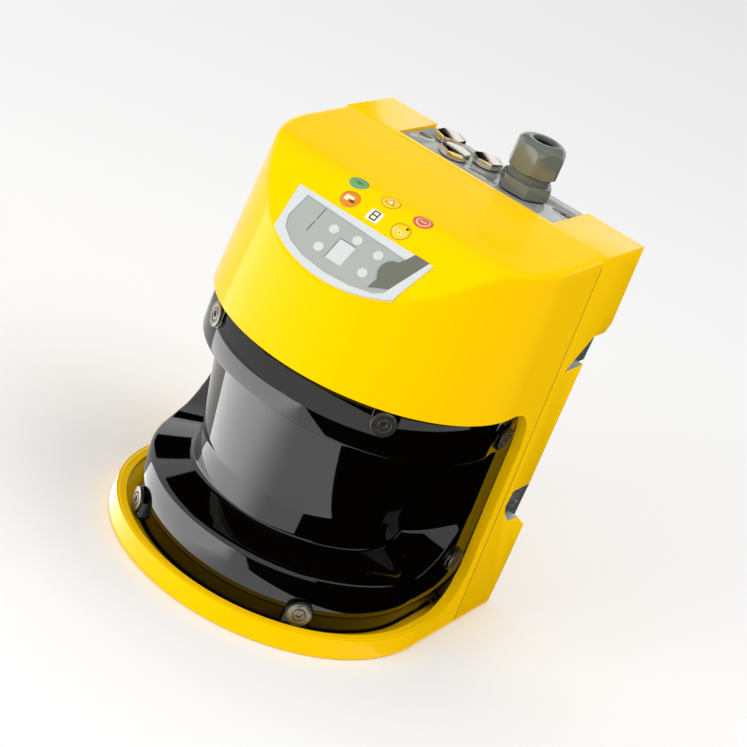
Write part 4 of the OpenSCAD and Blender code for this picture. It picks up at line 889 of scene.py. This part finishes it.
# Fine printed lines: two along the digit's window, and one in two lengths left of the lamps.
lines = ((-4.5, 11.0, -4.2, 21.2), (-4.2, 10.8, 3.3, 11.1))
lines += ((-18.1, 3.2, -17.8, 9.4), (-18.1, 10.6, -17.8, 16.0))
for number, ends in enumerate(lines):
    plate_on_face("display_line_%d" % (number + 1), box_corners(*ends), 0.0, 0.21, dark_print)
print("display pieces built")

# %% [markdown]
# ## The legend
# Six printed symbols on the bend above the display stand for the lamps. They are thin films that
# follow the bend.

# %% Legend
def printed(name, colour, place, *outlines, lift=0.05):
    """A printed mark: flat outlines in millimetres round a place on the top, laid over its bend."""
    slope = math.atan2(float(top_height(place[1] + 0.5) - top_height(place[1] - 0.5)), 1.0)
    points, faces, start = [], [], 0
    for ring in outlines:
        ring = np.asarray(ring, dtype=float)
        centre = ring.mean(axis=0)
        rows = np.stack([centre + (ring - centre) * k for k in (1.0, 0.66, 0.33, 0.0)])
        y = place[1] + rows[..., 1] * math.cos(slope)
        points.append(np.stack([place[0] + rows[..., 0], y, top_height(y) + lift], axis=-1).reshape(-1, 3))
        faces.append(grid_faces(4, len(ring), wrap_columns=True) + start)
        start += 4 * len(ring)
    mark = tidy(mesh_object(name, np.concatenate(points), np.concatenate(faces)))
    mark.modifiers.new("film", "SOLIDIFY").thickness = 0.03 * MM
    dress(mark, new_material("ink " + colour, colour, 0.4)[0])
    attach(mark, "scanner")


def disc_2d(radius, x=0.0, y=0.0, count=32):
    """A circle as a closed outline."""
    a = np.linspace(0, 2 * math.pi, count, endpoint=False)
    return np.stack([x + radius * np.cos(a), y + radius * np.sin(a)], axis=-1)


def bar_2d(x0, y0, x1, y1):
    """A rectangle as a closed outline."""
    return along(np.array(box_corners(x0, y0, x1, y1), dtype=float), 12)


def tent_2d(half, low, high):
    """A triangle on its base as a closed outline."""
    return along(np.array([[-half, low], [half, low], [0, high]]), 18)


# The middles of the six symbols, in two rows.
GREEN, RING_1, RED = (-16.4, -26.5), (0.0, -26.5), (16.4, -26.5)
ORANGE, DIGIT, RING_2 = (-13.1, -35.6), (0.0, -36.2), (13.1, -36.0)
SYMBOL, RING = disc_2d(4.3), disc_2d(3.95)

printed("legend_green", "#6FA36B", GREEN, SYMBOL)
printed("legend_green_mark", "#4C8150", GREEN, disc_2d(1.1), bar_2d(-2.2, -0.4, 2.2, 0.4), lift=0.09)
printed("legend_orange", "#DC8416", ORANGE, SYMBOL)
hook = (bar_2d(-2.6, -1.6, -0.6, 1.4), bar_2d(-0.6, -0.2, 1.4, 1.4))
printed("legend_orange_mark", "#F3E3C8", ORANGE, *hook, lift=0.09)
printed("legend_orange_dark", "#6E4A18", ORANGE, bar_2d(0.2, -1.6, 2.4, -0.2), lift=0.09)
printed("legend_ring_1", "#9C8414", RING_1, SYMBOL)
printed("legend_ring_1_field", "#FFC900", RING_1, RING, lift=0.08)
printed("legend_tent", "#B5732A", RING_1, tent_2d(2.4, -1.7, 2.4), lift=0.11)
printed("legend_tent_field", "#F2E9D8", RING_1, tent_2d(1.5, -1.2, 1.5), lift=0.14)
printed("legend_field", "#F1EBD6", DIGIT, bar_2d(-3.0, -3.0, 3.0, 3.0))
strokes = [bar_2d(-1.5, k - 0.3, 1.5, k + 0.3) for k in (-2.1, 0, 2.1)]
strokes += [bar_2d(x - 0.3, y, x + 0.3, y + 2.1) for x in (-1.3, 1.3) for y in (-2.1, 0.0)]
printed("legend_digit", "#2E2A20", DIGIT, *strokes, lift=0.09)
printed("legend_red", "#D4583C", RED, SYMBOL)
printed("legend_red_field", "#F0B79C", RED, disc_2d(3.2), lift=0.08)
printed("legend_red_mark", "#D4583C", RED, disc_2d(2.4), lift=0.11)
printed("legend_red_bar", "#F0B79C", RED, bar_2d(-1.7, -0.5, 1.7, 0.5), lift=0.14)
printed("legend_ring_2", "#9C8414", RING_2, SYMBOL)
printed("legend_ring_2_field", "#FFC900", RING_2, RING, lift=0.08)
spots = ((-2.0, -0.6), (0.0, -0.9), (1.8, -1.0))
specks = [disc_2d(0.75, x, y, 12) for x, y in spots]
printed("legend_specks", "#F2E9D8", RING_2, *specks, lift=0.11)
dots = [disc_2d(0.7, 1.6, 2.2, 12)] + [disc_2d(0.35, x, y, 8) for x, y in spots]
printed("legend_dots", "#3A3220", RING_2, *dots, lift=0.13)
print("legend printed")

# %% [markdown]
# ## The studio
# The object stands on white paper in an even white light, and one soft lamp in front on the left
# gives it its form. What polished pieces mirror is set apart from what lights the object: cards
# that only glossy rays see stand round it, bright paper in front and black cloth elsewhere.

# %% Floor and lights
def sheet(name, corners, colour, roughness=0.9):
    """A flat studio sheet from its corners in millimetres."""
    piece = mesh_object(name, corners, [[0, 1, 2, 3]], False)
    finish, shader = new_material(name + " finish", colour, roughness)
    shader.inputs["Specular IOR Level"].default_value = 0.0
    dress(piece, finish)
    return piece, finish, shader


def level_sheet(x0, y0, x1, y1, z):
    """The corners of a level rectangle."""
    return [[x0, y0, z], [x1, y0, z], [x1, y1, z], [x0, y1, z]]


sheet("studio_paper", level_sheet(-3000, -3000, 3000, 3000, -0.3), "#EAEAEA")

# The world is white to the camera and in mirrors, and a little less where it lights the object.
WORLD_LIGHT = 0.93

world = bpy.data.worlds.new("studio")
bpy.context.scene.world = world
world.use_nodes = True
path = add(world, "ShaderNodeLightPath")
seen = add(world, "ShaderNodeMath", {"operation": "MAXIMUM"})
world.node_tree.links.new(path.outputs["Is Camera Ray"], seen.inputs[0])
world.node_tree.links.new(path.outputs["Is Transmission Ray"], seen.inputs[1])
seen_or_mirrored = add(world, "ShaderNodeMath", {"operation": "MAXIMUM"})
world.node_tree.links.new(seen.outputs["Value"], seen_or_mirrored.inputs[0])
world.node_tree.links.new(path.outputs["Is Glossy Ray"], seen_or_mirrored.inputs[1])
brighter = {"To Min": WORLD_LIGHT, "To Max": 1.0}
level = add(world, "ShaderNodeMapRange", brighter, Value=seen_or_mirrored.outputs["Value"])
background = world.node_tree.nodes["Background"]
background.inputs["Color"].default_value = (1, 1, 1, 1)
world.node_tree.links.new(level.outputs["Result"], background.inputs["Strength"])


def mirrored_only(name, corners, strength, fade=None):
    """A card that only glossy rays see. fade is (x of the full level, x of the end level, end level)."""
    piece, finish, shader = sheet(name, corners, "#000000")
    piece.visible_camera = piece.visible_diffuse = piece.visible_transmission = False
    piece.visible_shadow = piece.visible_volume_scatter = False
    shader.inputs["Emission Color"].default_value = (1, 1, 1, 1)
    shader.inputs["Emission Strength"].default_value = strength
    if fade:
        place = add(finish, "ShaderNodeTexCoord")
        x = add(finish, "ShaderNodeSeparateXYZ", {}, Vector=place.outputs["Object"])
        reach = {"From Min": fade[0] * MM, "From Max": fade[1] * MM, "To Min": strength, "To Max": fade[2]}
        settings = {"interpolation_type": "SMOOTHSTEP", **reach}
        ramp = add(finish, "ShaderNodeMapRange", settings, Value=x.outputs["X"])
        finish.node_tree.links.new(ramp.outputs["Result"], shader.inputs["Emission Strength"])


mirrored_only("paper_in_front", level_sheet(-700, -2500, 82, -20, 1.0), 3.8, (-60, 20, 1.5))
mirrored_only("cloth_right", level_sheet(82, -2500, 2600, 1500, 1.0), 0.0)
mirrored_only("cloth_beside", level_sheet(76, -20, 82, 1500, 1.0), 0.0)
mirrored_only("cloth_above", level_sheet(-950, -950, 950, 950, 900.0), 0.0)
behind = [[-2500, 1500, 742], [2500, 1500, 742], [2500, 1500, 3500], [-2500, 1500, 3500]]
mirrored_only("cloth_behind", behind, 0.0)
beside = [[900, -600, 0], [900, 1500, 0], [900, 1500, 450], [900, -600, 450]]
mirrored_only("cloth_wall", beside, 0.0)


def lamp(name, place, aim, size, power):
    """A rectangular soft lamp at a place in metres, turned to face a point."""
    light = bpy.data.lights.new(name, "AREA")
    light.shape, light.size, light.size_y, light.energy = "RECTANGLE", size[0], size[1], power
    light_object = bpy.data.objects.new(name, light)
    light_object.location = place
    light_object.rotation_euler = (Vector(aim) - Vector(place)).to_track_quat("-Z", "Y").to_euler()
    light_object.visible_glossy = False
    bpy.context.scene.collection.objects.link(light_object)


lamp("key", (-0.44, -1.03, 0.54), (0, 0, 0.1), (0.6, 0.6), 5.1)
lamp("top", (0.5, 0.1, 1.2), (0, 0, 0.1), (0.7, 0.7), 3.5)
